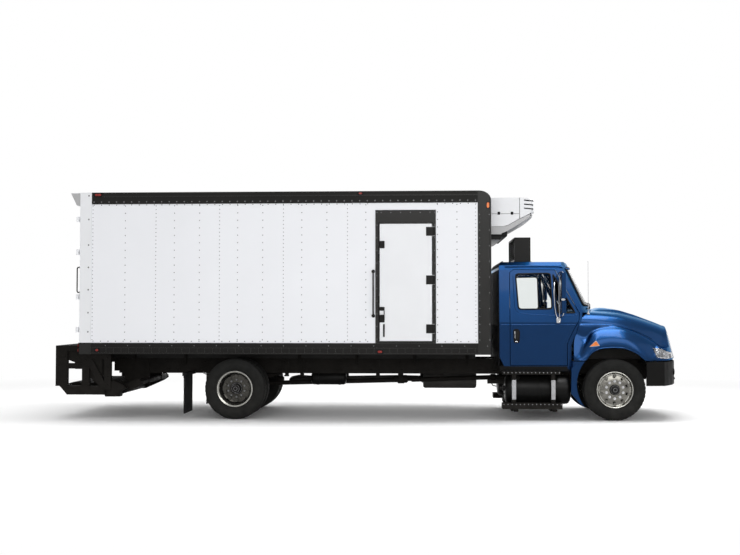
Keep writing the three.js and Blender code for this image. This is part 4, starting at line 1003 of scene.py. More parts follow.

# rocker under the doors; a dark sheet over the rear wall, with ribs, clips and edge
Form().prism([(4424, 806), (4424, 892), (5546, 892), (5546, 862), (5574, 830), (5574, 806)], "y", (-1004, -985),
             5).pair("rocker", TANK_BLACK)
cover, ribs, clips, corner = Form(), Form(), Form(), Form()
cover.prism(softened([(-985, 880), (985, 880), (985, 1620), (905, 2500), (-905, 2500), (-985, 1620)], 60), "x",
            (4411, 4421))
for a0, a1, half in ((180, 148, 902), (148, 96, 806)):
    turns = [radians(a0 + (a1 - a0) * i / 5) for i in range(6)]
    cover.prism([(4510 + 95 * cos(a), 2550 + 103 * sin(a)) for a in turns]
                + [(4510 + 86 * cos(a), 2550 + 94 * sin(a)) for a in reversed(turns)], "y", (-half, half), 1)
cover.done("cab_back_dark_sheet", TRIM)
for y in (-700, -420, -140, 140, 420, 700):
    ribs.block((4402, 4414), (y - 42, y + 42), (960, 1560), 10)
ribs.done("cab_back_ribs", TRIM)
for y in (-962, 962):
    for z in row(1305, 1925, 78):
        clips.block((4396, 4414), (y - 16, y + 16), (z - 20, z + 12), 5)
clips.done("cab_back_clips", BLACK)
for side, _ in SIDES:
    corner.tube([(4412, side * 984, 900), (4412, side * 984, 1610), (4412, side * 925, 2330),
                 (4424, side * 912, 2470)], 7)
corner.done("cab_back_edge", TRIM, smooth=60)

# windshield rubber, cowl, wipers
shield = softened([(-850, 1905), (850, 1905), (735, 2545), (-735, 2545)], 60, 5)
surround, vents, wipers = Form(), Form(), Form()
surround.tube(on_windshield(spread(shield, 90), 3), 17, 10, closed=True)
surround.tube(on_windshield([(0, 1912), (0, 2230), (0, 2540)]), 11).done("windshield_rubber", RUBBER, smooth=60)
for y in range(-640, 641, 160):
    x = windshield_x(y, 1852)
    vents.block((x - 58, x + 6), (y - 70, y + 70), (1846, 1862), 5)
vents.done("cowl_vents", TRIM)
for y0, y1 in ((-130, -720), (690, 100)):
    x, elbow, middle = windshield_x(y0, 1872, 24), y0 * 0.7 + y1 * 0.3, (y0 + y1) / 2
    wipers.rod((x - 40, y0, 1858), (x + 4, y0, 1878), 18, 24, 4)
    wipers.tube([(x, y0, 1872), (windshield_x(elbow, 1912, 36), elbow, 1912),
                 (windshield_x(middle, 1940, 34), middle, 1940)], 7, 10)
    wipers.tube(on_windshield(((y0 * 0.86 + y1 * 0.14, 1930), (middle, 1938), (y1, 1946)), 20), 8)
wipers.done("wipers", TRIM, smooth=60)

# drip rails over the doors, the box on the roof
Form().tube([(4520, side_y(2560, 2), 2560), (5060, side_y(2568, 2), 2568), (5420, side_y(2560, 2), 2560),
             (5600, side_y(2510, 2), 2500)], 8, 10).pair("drip_rail", BLUE, smooth=60)
louvres, flange = Form(), Form()
for z in range(2712, 3001, 36):
    louvres.prism([(4722, z), (4748, z + 20), (4748, z + 24), (4722, z + 4)], "y", (-529, 529), 0.8)
louvres.done("roof_box_louvres", BLACK)
for side, _ in SIDES:
    flange.block((4700, 5000), off(side, 560, 588), (2651, 2659), 2)
flange.domes([(x, y, 2659) for x in (4730, 4850, 4970) for y in (-575, 575)], (0, 0, 1), 9, 5)
flange.block((4716, 4988), (-562, 562), (3058, 3070), 3).done("roof_box_flanges", BLACK)

# the windshield: two layers of points 6 mm apart, sewn together round the rim
ROWS, COLUMNS = 8, 28
glass = Form()
layers = []
for depth in (-17, -23):
    layers.append([])
    for j in range(ROWS + 1):
        z, half = 1912 + 626 * j / ROWS, 843 - 114 * j / ROWS
        layers[-1].append([glass.bm.verts.new((windshield_x(y, z, depth), y, z))
                           for y in [-half + 2 * half * i / COLUMNS for i in range(COLUMNS + 1)]])
front, rear = layers
for j in range(ROWS):
    for i in range(COLUMNS):
        glass.bm.faces.new((front[j][i], front[j][i + 1], front[j + 1][i + 1], front[j + 1][i]))
        glass.bm.faces.new((rear[j][i], rear[j + 1][i], rear[j + 1][i + 1], rear[j][i + 1]))
rim = ([(0, i) for i in range(COLUMNS)] + [(j, COLUMNS) for j in range(ROWS)]
       + [(ROWS, i) for i in range(COLUMNS, 0, -1)] + [(j, 0) for j in range(ROWS, 0, -1)])
for (j, i), (k, m) in zip(rim, rim[1:] + rim[:1]):
    glass.bm.faces.new((front[j][i], rear[j][i], rear[k][m], front[k][m]))
bmesh.ops.recalc_face_normals(glass.bm, faces=glass.bm.faces)
glass.done("windshield_pane", SHADED_GLASS, smooth=60, replaces="windshield")

Form().tube(on_side([(5530, 900), (4594, 900), (4594, 2452), (4654, 2506), (5346, 2496)], -70), 9).pair(
    "door_seal", RUBBER, smooth=60)
# behind the front wheel arch, along an arc round the tilting hood's pivot
arc = [(7330 - 1899 * cos(radians(a)), 600 + 1899 * sin(radians(a))) for a in (20.2, 23, 26, 29, 32)]
Form().prism([(5547, 905), (5547, 1256)] + arc + [(x + 70, z - 8) for x, z in reversed(arc)]
             + [(5612, 1240), (5612, 905)], "y", (-972, -905), 4).pair("cowl_corner", BLUE)

# ------------------------------------------------------------------ front end: lamps, grille, marker, antenna
cups, bulbs, back = Form(), Form(), Form()
for x, y, z, r in ((7030, -985, 1108, 52), (7150, -905, 1082, 56), (7245, -800, 1072, 44)):
    cups.lathe([(0, -46), (r * 0.45, -40), (r * 0.8, -22), (r, 6), (r - 4, 8), (r * 0.76, -17), (r * 0.42, -34),
                (0, -39)], (x, y, z), "x", 36)
    bulbs.rod((x - 34, y, z), (x - 6, y, z), 9, 16, 3)
cups.pair("headlamp_reflectors", CHROME, HOODS, 60)
bulbs.pair("headlamp_bulbs", LENS, HOODS, 60)
back.prism([(6975, 1190), (7010, 1040), (7200, 1024), (7280, 1024), (7280, 1085), (7120, 1140)], "y", (-860, -846))
back.block((6960, 7000), (-1040, -850), (1040, 1180), 6).pair("headlamp_housing", ZINC, HOODS)

level = min(on_hood((x, -1400, z), (0, 1, 0)).y for x, z in ((5884, 1222), (6046, 1236), (5988, 1316))) + 4
Form().prism(softened([(5886, 1224), (6040, 1240), (5986, 1312)], 14), "y", (level - 16, level + 26), 5).pair(
    "fender_marker", AMBER, HOODS)
Form().prism(softened([(5876, 1216), (6052, 1232), (5988, 1324)], 14), "y", (level - 4, level + 40), 2).pair(
    "fender_marker_base", CHROME, HOODS)
for name, line, x0, x1, count, out, up, r in (("fender_lip", ARCH_LINE, 5712, 6768, 40, 1, 10, 9),
                                              ("hood_crease", CREASE_LINE, 5800, 6980, 24, 0.5, 0, 5.5)):
    stops = [x0 + (x1 - x0) * k / (count - 1) for k in range(count)]
    points = [(x, -y - out, z + up) for x, (y, z) in zip(stops, [pchip(line, x) for x in stops])]
    Form().tube(points, r).pair(name, BLUE, HOODS, 60)

foot = on_hood((5912, -880, 2400), (0, 0, -1))
aerial = Form().lathe([(0, -4), (26, -4), (24, 10), (12, 26), (7, 60), (0, 60)], foot, "z", 24)
aerial.rod((5912, -880, foot.z + 50), (5912, -880, 2632), 4.2, 12, r2=2.8)
aerial.rod((5912, -880, 2626), (5912, -880, 2640), 6, 14, 2.5)
aerial.done("antenna", GREY_SHELL, "hood", 60, slot="dark_trim")

ring = [(nose_x(y, z) - 4, y, z) for y, z in [(-y, z) for y, z in GRILLE_LINE] + list(GRILLE_LINE[:0:-1])]
surround = Form().tube(ring, 17, 12).tube([(nose_x(y, 1010) - 4, y, 1012) for y in range(-440, 441, 110)], 14, 12)
surround.done("grille_surround", CHROME, "hood", 60)
bars, screen = Form(), Form()
for z in range(1086, 1470, 41):
    half = 418 if z < 1400 else 418 - (z - 1400) * 1.2
    bars.tube([(nose_x(y, z) - 8, y, z) for y in [half * t / 6 for t in range(-6, 7)]], 5)
for y in range(-390, 391, 30):
    bars.tube([(nose_x(y, z) - 20, y, z) for z in (1022, 1130, 1240, 1350, 1452 if abs(y) < 300 else 1404)], 3, 6)
bars.done("grille_bars", CHROME, "hood", 60)
for y in range(-420, 420, 60):
    x, top = nose_x(y + 30, 1016) - 150, 1440 if abs(y + 30) < 380 else 1400
    screen.prism([(y, 1016), (y + 60, 1016), (y + 60, top), (y, top)], "x", (x, x + 8), 0.5)
screen.done("grille_screen", TRIM, "hood")

# bumper: black ribs, step pads, blank number plate, tow eyes, fog lamps
ribs, steps, eyes, fogs, cups = Form(), Form(), Form(), Form(), Form()
for z, r in ((868, 9), (700, 7)):
    ribs.tube([(bumper_x(y) - 7, y * 1.001, z) for y in range(-1120, 1121, 70)], r)
ribs.done("bumper_ribs", BUMPER, smooth=60)
steps.blocks((((7330, 7446), y, (964, 972)) for y in ((-320, -60), (60, 320))), 2)
steps.done("bumper_step_pads", TRIM)
RIDGE, FLANK = 7460, 0.092  # the ridge at the bumper's middle, and how its left half falls back per mm


def along_bumper(y0, y1, lift0, lift1):
    """Plan outline of a slab on the bumper's flat left half. The ridge at the middle leaves no room for a plate."""
    return [(RIDGE - FLANK * y + lift, y) for y, lift in ((y0, lift0), (y0, lift1), (y1, lift1), (y1, lift0))]


Form().prism(along_bumper(88, 428, -4, 4), "z", (740, 850), 1.5).done("plate_holder_front", TRIM)
Form().prism(along_bumper(106, 410, 2, 6), "z", (748, 842), 1).done("blank_plate_front", WHITE_TRIM)
for y in (-385, 385):
    eyes.tube([(7390, y, 640), (7440, y, 640), (7449, y, 655), (7440, y, 672), (7390, y, 672)], 9, 10)
eyes.done("tow_eyes", STEEL, smooth=60)
for y in (-640, 640):
    x = bumper_x(y)
    cups.rod((x - 30, y, 785), (x + 4, y, 785), 66, 36, 5)
    fogs.rod((x - 4, y, 785), (x + 9, y, 785), 54, 36, 5)
cups.done("fog_lamp_cups", TRIM)
fogs.done("fog_lamps", LENS)

# ------------------------------------------------------------------ tank, steps, chassis, springs, shafts
TANK = Vector((0, -850, 495))
TANK_R = 245
straps, buckles = Form(), Form()
for x in (4643, 5291):
    ring = [Vector((x, TANK.y - (TANK_R + 9) * cos(radians(a)), TANK.z + (TANK_R + 9) * sin(radians(a))))
            for a in range(-100, 104, 6)]
    for one, two in zip(ring, ring[1:]):
        way = (two - one).normalized()
        out = Vector((0, -way.z, way.y))
        if out.dot(one - TANK) < 0:
            out = -out
        made = [straps.bm.verts.new(spot + Vector((dx, 0, 0)) + out * d)
                for spot in (one - way * 1.2, two + way * 1.2) for dx in (-34, 34) for d in (-4, 4)]
        for face in ((0, 1, 3, 2), (4, 6, 7, 5), (0, 2, 6, 4), (1, 5, 7, 3), (0, 4, 5, 1), (2, 3, 7, 6)):
            straps.bm.faces.new([made[i] for i in face])
    buckles.block((x - 26, x + 26), (-1122, -1098), (430, 520), 6)
    buckles.rod((x, -1112, 380), (x, -1112, 560), 8, 12, 2)
bmesh.ops.recalc_face_normals(straps.bm, faces=straps.bm.faces)
for x in (4644, 5289):
    straps.prism([(-1151, 668), (-1158, 662), (-1158, 500), (-1144, 344), (-1137, 344), (-1151, 500)], "x",
                 (x - 33, x + 33), 2)
straps.pair("tank_straps", STRAP)
buckles.pair("tank_strap_bolts", ZINC, smooth=50)

PROFILE = [(120, 4507), (190, 4516), (224, 4532), (240, 4556), (245, 4590), (247.5, 4606), (247.5, 4612), (245, 4620),
           (245, 5060), (247.5, 5068), (247.5, 5078), (245, 5086), (245, 5512), (240, 5548), (224, 5573), (190, 5589),
           (120, 5598)]
SEGS = 72
tank = Form()
made = [[tank.bm.verts.new((x, TANK.y + r * cos(tau * k / SEGS), TANK.z + r * sin(tau * k / SEGS)))
         for k in range(SEGS)] for r, x in PROFILE]
for a, b in zip(made, made[1:]):
    sew(tank.bm, a, b)
for x, ring in ((4504, made[0][::-1]), (5601, made[-1])):
    tip = tank.bm.verts.new((x, TANK.y, TANK.z))
    for a, b in zip(ring, ring[1:] + ring[:1]):
        tank.bm.faces.new((tip, a, b))
bmesh.ops.recalc_face_normals(tank.bm, faces=tank.bm.faces)
tank.pair("fuel_tank_skin", TANK_BLACK, smooth=50, replaces="fuel_tank")
fitting = Form().rod((4510, -905, 515), (4470, -905, 515), 44, 32, 5)
fitting.rod((4474, -905, 515), (4430, -905, 515), 27, 28, 4)
fitting.tube([(4432, -905, 515), (4416, -905, 505), (4414, -900, 470), (4440, -880, 430), (4500, -850, 420)], 9, 12)
fitting.rod((4700, -1000, 690), (4700, -1040, 724), 52, 36, 6).rod((4700, -1034, 718), (4700, -1050, 732), 46, 24, 5)
fitting.pair("tank_fittings", BLACK, smooth=50)

# steps: raised treads over the plain ones, a row of teeth, feet
treads, teeth = Form(), Form()
for y0, y1, x0, x1, z in ((-1170, -930, 4462, 5402, 806), (-1190, -965, 4455, 5429, 285)):
    treads.block((x0, x1), (y0 - 3, y0 + 12), (z - 26, z + 3), 3).block((x0, x1), (y1 - 12, y1), (z - 6, z + 3), 2)
    for x in row(x0 + 18, x1 - 18, 66):
        treads.block((x - 14, x + 14), (y0 + 20, y1 - 20), (z - 1, z + 4), 2)
        teeth.rod((x, y0 - 4, z - 16), (x, y0 + 4, z - 16), 11, 14, 2)
treads.pair("step_treads", STEEL, smooth=50)
teeth.pair("step_teeth", ZINC, smooth=60, slot="dark_trim")
Form().blocks((((x - 38, x + 38), (-1120, -1020), (140, 192)) for x in (4678, 5320)), 8).pair("step_feet", STEEL)

# frame rails: bolts, brackets, box sills, air tanks, lines, exhaust
RAIL_BOLTS = (-1980, -1800, -1320, -1120, -700, -640, 640, 700, 1180, 1700, 2240, 2754, 3260, 3700, 4100, 4380, 4700,
              5200, 5640, 5980, 6620, 6900)
WEB = 430                 # outer face of the frame rails
bolts, brackets, sills, air, lines, exhaust = Form(), Form(), Form(), Form(), Form(), Form()
for side, _ in SIDES:
    for x in RAIL_BOLTS:
        bolts.domes([(x + dx, side * WEB, z) for dx in (-24, 24) for z in (790, 920)], (0, side, 0), 13, 10, 6)
    for x in (778, 1044, 2363, 3461):
        brackets.block((x - 34, x + 34), off(side, WEB + 1, WEB + 17), (680, 960), 5)
        brackets.block((x - 40, x + 40), off(side, WEB + 1, WEB + 90), (676, 700), 5)
    for x in (-1900, -1000, 1000, 2000, 3000, 3900):
        brackets.block((x - 30, x + 30), off(side, WEB + 1, WEB + 14), (900, 1126))
        brackets.rod((x, side * (WEB + 22), 880), (x, side * (WEB + 22), 1140), 9, 14, 2)
bolts.done("rail_bolts", STEEL, smooth=50)
brackets.done("rail_brackets", STEEL, smooth=50)
sills.blocks((((x - 24, x + 24), off(side, 440, 1236), (1092, 1131)) for x in row(-2250, 3950, 410)
              for side, _ in SIDES), 4)
sills.done("box_cross_sills", STEEL)
for x, y, z in ((1500, -300, 640), (1500, 300, 640), (3400, 250, 640)):
    air.lathe([(0, -310), (60, -306), (104, -290), (118, -262), (118, 262), (104, 290), (60, 306), (0, 310)],
              (x, y, z), "x", 40)
    for dx in (-190, 190):
        air.lathe(collar(117, 123, dx - 20, dx + 20), (x, y, z), "x", 40)
        air.block((x + dx - 18, x + dx + 18), (y - 8, y + 8), (z + 112, 760), 3)
air.done("air_tanks", TANK_BLACK, smooth=50)
for y, z, r in ((-404, 870, 9), (-404, 845, 7), (404, 860, 11), (396, 835, 7)):
    lines.tube([(-2050, y, z), (-900, y, z), (-820, y * 0.97, z + 30), (820, y * 0.97, z + 30), (900, y, z),
                (4200, y, z), (5600, y, z)], r)
lines.done("frame_lines", RUBBER, smooth=60)
exhaust.tube([(6150, 250, 620), (5700, 330, 560), (4300, 300, 560)], 55, 24)
exhaust.lathe([(0, -480), (150, -470), (168, -440), (168, 440), (150, 470), (0, 480)], (3620, 200, 600), "x", 48)
exhaust.tube([(3140, 200, 600), (2700, 200, 610), (1900, 120, 600), (1260, 150, 590)], 52, 24)
exhaust.tube([(1260, 150, 590), (900, 350, 600), (760, 620, 560), (700, 900, 520)], 52, 24)
exhaust.done("exhaust", IRON, smooth=50)

# leaf springs and their clips, brake chambers, axle housing, shaft joints
LEAF = 13                 # from one leaf's top to the next
leaves, clips, pods, housing, joints = Form(), Form(), Form(), Form(), Form()
for axle, seat, half, rise, count in ((WHEELBASE, 560, 600, 130, 5), (0, 690, 660, 20, 8)):
    low = seat - LEAF * count
    for y in (-385, 385):
        for i in range(count):
            reach = half * (1 - 0.10 * i)
            top = [(axle + t * reach, seat + rise * (t * reach / half) ** 2 - LEAF * i)
                   for t in [j / 8 for j in range(-8, 9)]]
            leaves.prism(top + [(x, z - 11) for x, z in reversed(top)], "y", (y - 44, y + 44), 1.5)
        for dx in (-0.45 * half, 0.45 * half):
            clips.block((axle + dx - 14, axle + dx + 14), (y - 50, y + 50), (low + 4, seat + rise * 0.2 + 14))
        for dx in (-58, 58):
            for dy in (-52, 52):
                clips.rod((axle + dx, y + dy, low - 60), (axle + dx, y + dy, seat + 34), 10, 14, 3)
        clips.block((axle - 78, axle + 78), (y - 62, y + 62), (seat + 8, seat + 30), 5)
leaves.done("leaf_springs", STEEL)
clips.done("spring_clips", STEEL, smooth=50)
for y in (-560, 560):
    pods.lathe([(0, -90), (66, -86), (80, -62), (80, -8), (88, -6), (88, 6), (80, 8), (74, 62), (52, 82), (0, 86)],
               (-230, y, 590), "x", 40)
    pods.rod((-150, y, 590), (-60, y, 560), 12, 14, 3)
pods.done("brake_chambers", STEEL, smooth=50)
housing.lathe([(0, -150), (90, -146), (160, -116), (192, -60), (200, 0), (192, 60), (160, 116), (90, 146), (0, 150)],
              (0, 0, HUB_Z), "y", 56)
for k in range(10):
    x, z = 172 * cos(tau * k / 10), HUB_Z + 172 * sin(tau * k / 10)
    housing.rod((x, -132, z), (x, 132, z), 11, 10, 2)
housing.done("axle_housing", STEEL, smooth=50)
for x, z, r in ((610, 592, 58), (2690, 604, 56), (2820, 606, 70), (4380, 640, 58)):
    joints.lathe([(0, -62), (r * 0.7, -60), (r, -34), (r, 34), (r * 0.7, 60), (0, 62)], (x, 0, z), "x", 32)
joints.done("shaft_joints", STEEL, smooth=50)

# mud flaps: stiffeners and clamp bolts
stiff = Form().blocks((((-859, -855), (y - 6, y + 6), (110, 700)) for y in (-1180, -1050, -915, -780, -650)), 1.5)
stiff.block((-862, -855), (-1220, -610), (690, 716), 2)
stiff.domes([(-880, y, 745) for y in (-1180, -1000, -830, -660)], (-1, 0, 0), 12, 7)
stiff.pair("mud_flap_details", RUBBER, smooth=50, slot="flap_rubber")

# ------------------------------------------------------------------ refrigeration unit
BACK, UNIT_HALF, UNIT_FRONT = 4273, 948.0, 5036
SPANS = 14                # steps across
TIP_PULL, DEPTH = 62, 760 # how far the ends are drawn back at the full depth


def swept_front(name, mat, outline, half=UNIT_HALF, inset=0.0, replaces=None):
    """The unit's side outline swept across, and drawn back toward its two ends."""
    form = Form()
    rings = []
    for i in range(SPANS + 1):
        y = -half + 2 * half * i / SPANS
        reach = abs(y) / UNIT_HALF
        pull = TIP_PULL * ((reach - 0.7) / 0.3) ** 2 if reach > 0.7 else 0.0
        ring = [(min(x, UNIT_FRONT - inset) - pull * max(0.0, (x - BACK) / DEPTH), z) for x, z in outline]
        rings.append([form.bm.verts.new((max(BACK, x), y, z)) for x, z in ring])
    for a, b in zip(rings, rings[1:]):
        sew(form.bm, a, b)
    form.bm.faces.new(rings[0])
    form.bm.faces.new(list(reversed(rings[-1])))
    bmesh.ops.recalc_face_normals(form.bm, faces=form.bm.faces)
    form.done(name, mat, smooth=42, replaces=replaces)


swept_front("unit_upper_shell", WHITE_TRIM, [
    (BACK, 3714), (4930, 3714), (4992, 3704), (5020, 3680), (5032, 3640), (5033, 3560), (5026, 3490), (5008, 3452),
    (4985, 3440), (4770, 3344), (4680, 3296), (4590, 3252), (4520, 3232), (BACK, 3230)], replaces="refrigeration_unit")
swept_front("unit_lower_shell", GREY_SHELL, [
    (BACK, 3224), (4516, 3226), (4590, 3244), (4684, 3290), (4774, 3336), (4984, 3432), (5008, 3436), (5002, 3404),
    (4980, 3376), (4785, 3262), (4640, 3180), (4572, 3146), (4520, 3128), (4486, 3116), (4478, 3098), (BACK, 3096)],
    inset=6)
swept_front("unit_floor_pan", TANK_BLACK, [(BACK, 3090), (4470, 3092), (4470, 3020), (4452, 3008), (BACK, 3008)],
            930.0, 10)
core, slots, seams, latches = Form(), Form(), Form(), Form()
core.block((4276, 4960), (-940, 940), (3400, 3690), 10).block((4276, 4560), (-934, 934), (3060, 3400), 10)
core.done("unit_core", TRIM)
for side, _ in SIDES:
    for z in (3674, 3606, 3538):
        slots.prism([(4836, z + 10), (4840, z - 16), (4996, z - 30), (4990, z - 4)], "y", off(side, 936, 950.5))
    seams.block((4764, 4772), off(side, 940, 950), (3352, 3712), 1)
    seams.block((4300, 4764), off(side, 940, 950), (3440, 3446), 1)
    for x in (4420, 4640):
        latches.block((x - 22, x + 22), off(side, 944, 956), (3426, 3476))
slots.blocks((((5022, 5036), (-640, 640), (z, z + 11)) for z in range(3480, 3673, 24)), 2)
slots.done("unit_air_slots", TRIM)
seams.done("unit_seams", TRIM)
latches.done("unit_latches", TRIM)

# ------------------------------------------------------------------ liftgate: tread, ribs, lamps, plate, cylinders
def chequered(name, body, x_row, y_row, pitch, z):
    """Raised dashes that turn by a right angle from one to the next."""
    form = Form()
    for x in row(*x_row, 50):
        for y in row(*y_row, pitch):
            form.block((x - 13, x + 13), (y - 3.5, y + 3.5), (z, z + 4), 1.2,
                       ("Z", 45 if (round(x / 50) + round(y / pitch)) % 2 else -45))
    form.done(name, STEEL, body)


chequered("dock_tread", "truck", (-2990, -2640), (-1150, 1150), 76, 1225)
chequered("platform_tread", "platform_outer", (-2810, -2410), (-790, 790), 79, 589)
ribs, bolts, plates, boxes, red, clear = Form(), Form(), Form(), Form(), Form(), Form()
ribs.blocks((((-2850, -2376), (y - 18, y + 18), (470, 482)) for y in (-826, 826)), 3)
ribs.blocks((((-2850, -2376), (y - 14, y + 14), (462, 480)) for y in (-420, 0, 420)), 3)
ribs.done("platform_ribs", STEEL, "platform_inner")
DOCK_SIDE = 1200          # outer face of the dock frame's side plates
DOCK_BOLTS = ((-2980, 620), (-2980, 760), (-2980, 900), (-2980, 1040), (-2880, 620), (-2880, 1040), (-2530, 660),
              (-2530, 780), (-2530, 980), (-2700, 890), (-2150, 560), (-2150, 700), (-2150, 860), (-2160, 1020))
DOCK_PANELS = ([(-2872, 1141), (-2589, 1141), (-2586, 830), (-2723, 830), (-2724, 941), (-2850, 987), (-2870, 987)],
               [(-2870, 930), (-2707, 931), (-2706, 836), (-2869, 836)],
               [(-2520, 1141), (-2264, 1142), (-2258, 512), (-2306, 543), (-2468, 691), (-2516, 696)])
for side, _ in SIDES:
    bolts.domes([(x, side * DOCK_SIDE, z) for x, z in DOCK_BOLTS], (0, side, 0), 14, 9, 6)
    plates.blocks((((-2600, -2456), off(side, DOCK_SIDE - 2, DOCK_SIDE + 6), (560, 600)),
                   ((-2860, -2450), off(side, DOCK_SIDE - 2, DOCK_SIDE + 6), (876, 900))), 3)
    for outline in DOCK_PANELS:
        plates.prism(outline, "y", off(side, DOCK_SIDE - 52, DOCK_SIDE - 36))
    plates.block((-3036, -2844), off(side, DOCK_SIDE - 2, DOCK_SIDE + 5), (1120, 1148), 3)
    boxes.block((-3037, -3020), off(side, 985, 1115), (1150, 1216), 5)
    for y, lamp in ((1020, red), (1080, clear)):
        lamp.rod((-3030, side * y, 1183), (-3039, side * y, 1183), 24, 28, 3)
bolts.done("dock_bolts", STEEL, smooth=50)
plates.done("dock_side_ribs", STEEL, smooth=50)
boxes.done("dock_lamp_boxes", TRIM)
red.done("dock_lamps_red", RED)
clear.done("dock_lamps_clear", LENS)
Form().block((-3036, -3030), (-152, 152), (1146, 1220), 2).done("blank_plate_rear", WHITE_TRIM)
Form().blocks((((-3040, -3016), (y - 110, y + 110), (1142, 1222)) for y in (-760, 760)), 10).done(
    "dock_bumpers", RUBBER, slot="flap_rubber")
ram, pins, sill = Form(), Form(), Form()
for side, _ in SIDES:
    y = side * 380
    ram.rod((-1950, y, 640), (-2190, y, 520), 38, 28, 5).rod((-1900, y, 665), (-1950, y, 640), 26, 24, 4)
    ram.block((-1960, -1880), off(side, 350, 410), (660, 724), 6)
    pins.rod((-1690, side * 926, 590), (-1690, side * 934, 590), 34, 32, 3)
    pins.rod((-2900, side * 926, 505), (-2900, side * 934, 505), 44, 28, 3)
    sill.block((-2624, -2412), off(side, 1292, 1301), (1085, 1277), 2)
ram.done("lift_cylinders", STEEL, smooth=50)
pins.done("lift_arm_pins", STEEL, "liftgate_arms", 50)
Form().prism([(-2213, 554), (-2072, 647), (-1913, 572), (-1846, 513), (-1948, 454), (-1947, 368), (-2211, 367)], "y",
             (-1166, -1010), 8).done("liftgate_control_box", STEEL)
sill.block((-2624, -2611), (-1301, 1301), (1085, 1277), 2).done("rear_sill_cover", RAIL)

# ------------------------------------------------------------------ seats: pads blown up by a cloth simulation
FRAMES = 20               # how long the pads swell
VOXEL = 0.011             # size of their mesh, in metres
SEAM = 6                  # half-width of what a line of piping holds down


def evaluated_mesh(obj):
    """The mesh an object has with its modifiers."""
    return bpy.data.meshes.new_from_object(obj.evaluated_get(bpy.context.evaluated_depsgraph_get()))


def swollen(pad, start, hold, cap):
    """The pad after a rise in pressure, with nothing moved farther than cap (m)."""
    before = [v.co.copy() for v in start.vertices]
    pins = pad.vertex_groups.new(name="stitched")
    pins.add([v.index for v in start.vertices if hold(*(FROM_ROW @ v.co))], 1.0, "REPLACE")
    cloth = pad.modifiers.new("swell", "CLOTH")
    how = cloth.settings
    how.vertex_group_mass = "stitched"
    how.use_pressure = True
    how.uniform_pressure_force = 4.0
    how.quality = 5
    how.mass = 0.15
    how.tension_stiffness = how.compression_stiffness = 12
    how.shear_stiffness = 6
    how.bending_stiffness = 0.4
    how.effector_weights.gravity = 0
    cloth.collision_settings.use_collision = False
    cloth.point_cache.frame_start = 1
    cloth.point_cache.frame_end = FRAMES
    for frame_number in range(1, FRAMES + 1):
        scene.frame_set(frame_number)
    end = evaluated_mesh(pad)
    scene.frame_set(1)
    pad.modifiers.clear()
    for v, b in zip(end.vertices, before):
        moved = v.co - b
        v.co = b + (moved if moved.length < cap else moved.normalized() * cap)
    return end


def blown(name, outline, span, hold, cap):
    """A closed pad swelled from a slightly smaller shape. hold(x, y, z) is true where it is stitched down."""
    piece = Form().prism(outline, "y", span, 16).done(name, CLOTH, smooth=180)
    pad = bpy.data.objects.new("pad_shape", piece.data.copy())
    scene.collection.objects.link(pad)
    net = pad.modifiers.new("net", "REMESH")
    net.mode = "VOXEL"
    net.voxel_size = VOXEL
    start = evaluated_mesh(pad)
    pad.modifiers.clear()
    pad.data = start
    bm = bmesh.new()
    bm.from_mesh(swollen(pad, start, hold, cap))
    for _ in range(2):
        bmesh.ops.smooth_vert(bm, verts=bm.verts, factor=0.5, use_axis_x=True, use_axis_y=True, use_axis_z=True)
    mesh = bpy.data.meshes.new(name)
    bm.to_mesh(mesh)
    bm.free()
    mesh.shade_smooth()
    mesh.materials.append(CLOTH)
    piece.data = mesh
    finer = piece.modifiers.new("finer", "SUBSURF")
    finer.levels = finer.render_levels = 1
    bpy.data.objects.remove(pad)


BACKREST = [(4592, 1470), (4652, 1392), (4752, 1392), (4760, 1420), (4694, 1764), (4680, 1788), (4622, 1796),
            (4604, 1776)]
CUSHION = [(4745, 1366), (5178, 1366), (5186, 1380), (5184, 1440), (5168, 1456), (4745, 1452)]
for name, span, seams in (("bench", (-840, 140), (-515, -350, -185)), ("driver", (260, 790), (395, 525, 655))):
    seams += (span[0] + 62, span[1] - 62)          # and the piping near the two ends

    def on_seam(y, seams=seams):
        return min(abs(y - seam) for seam in seams) < SEAM

    blown("seat_cushion_" + name, CUSHION, span,
          lambda x, y, z: z < 1378 or on_seam(y) or abs(x - 5112) < SEAM, 0.024)
    blown("seat_back_" + name, BACKREST, span,
          lambda x, y, z: x < 4612 or z < 1402 or on_seam(y) or abs(z - 1708) < SEAM, 0.026)
base, belts = Form(), Form()
base.block((4722, 5118), (-818, 818), (1062, 1362), 16)
base.block((4700, 5150), (-822, 132), (1340, 1366), 8).block((4700, 5150), (262, 788), (1340, 1366), 8)
base.blocks((((4572, 4606), y, (1460, 1780)) for y in ((-790, 100), (300, 750))), 10)
base.done("seat_base", TRIM, replaces="seats")
for y in (-770, -290, 120, 330, 745):
    belts.tube([(4760, y, 1470), (4790, y, 1500), (4800, y, 1530)], 9)
    belts.block((4788, 4812), (y - 24, y + 24), (1524, 1580), 5)
belts.done("seat_belt_buckles", RUBBER, smooth=50)

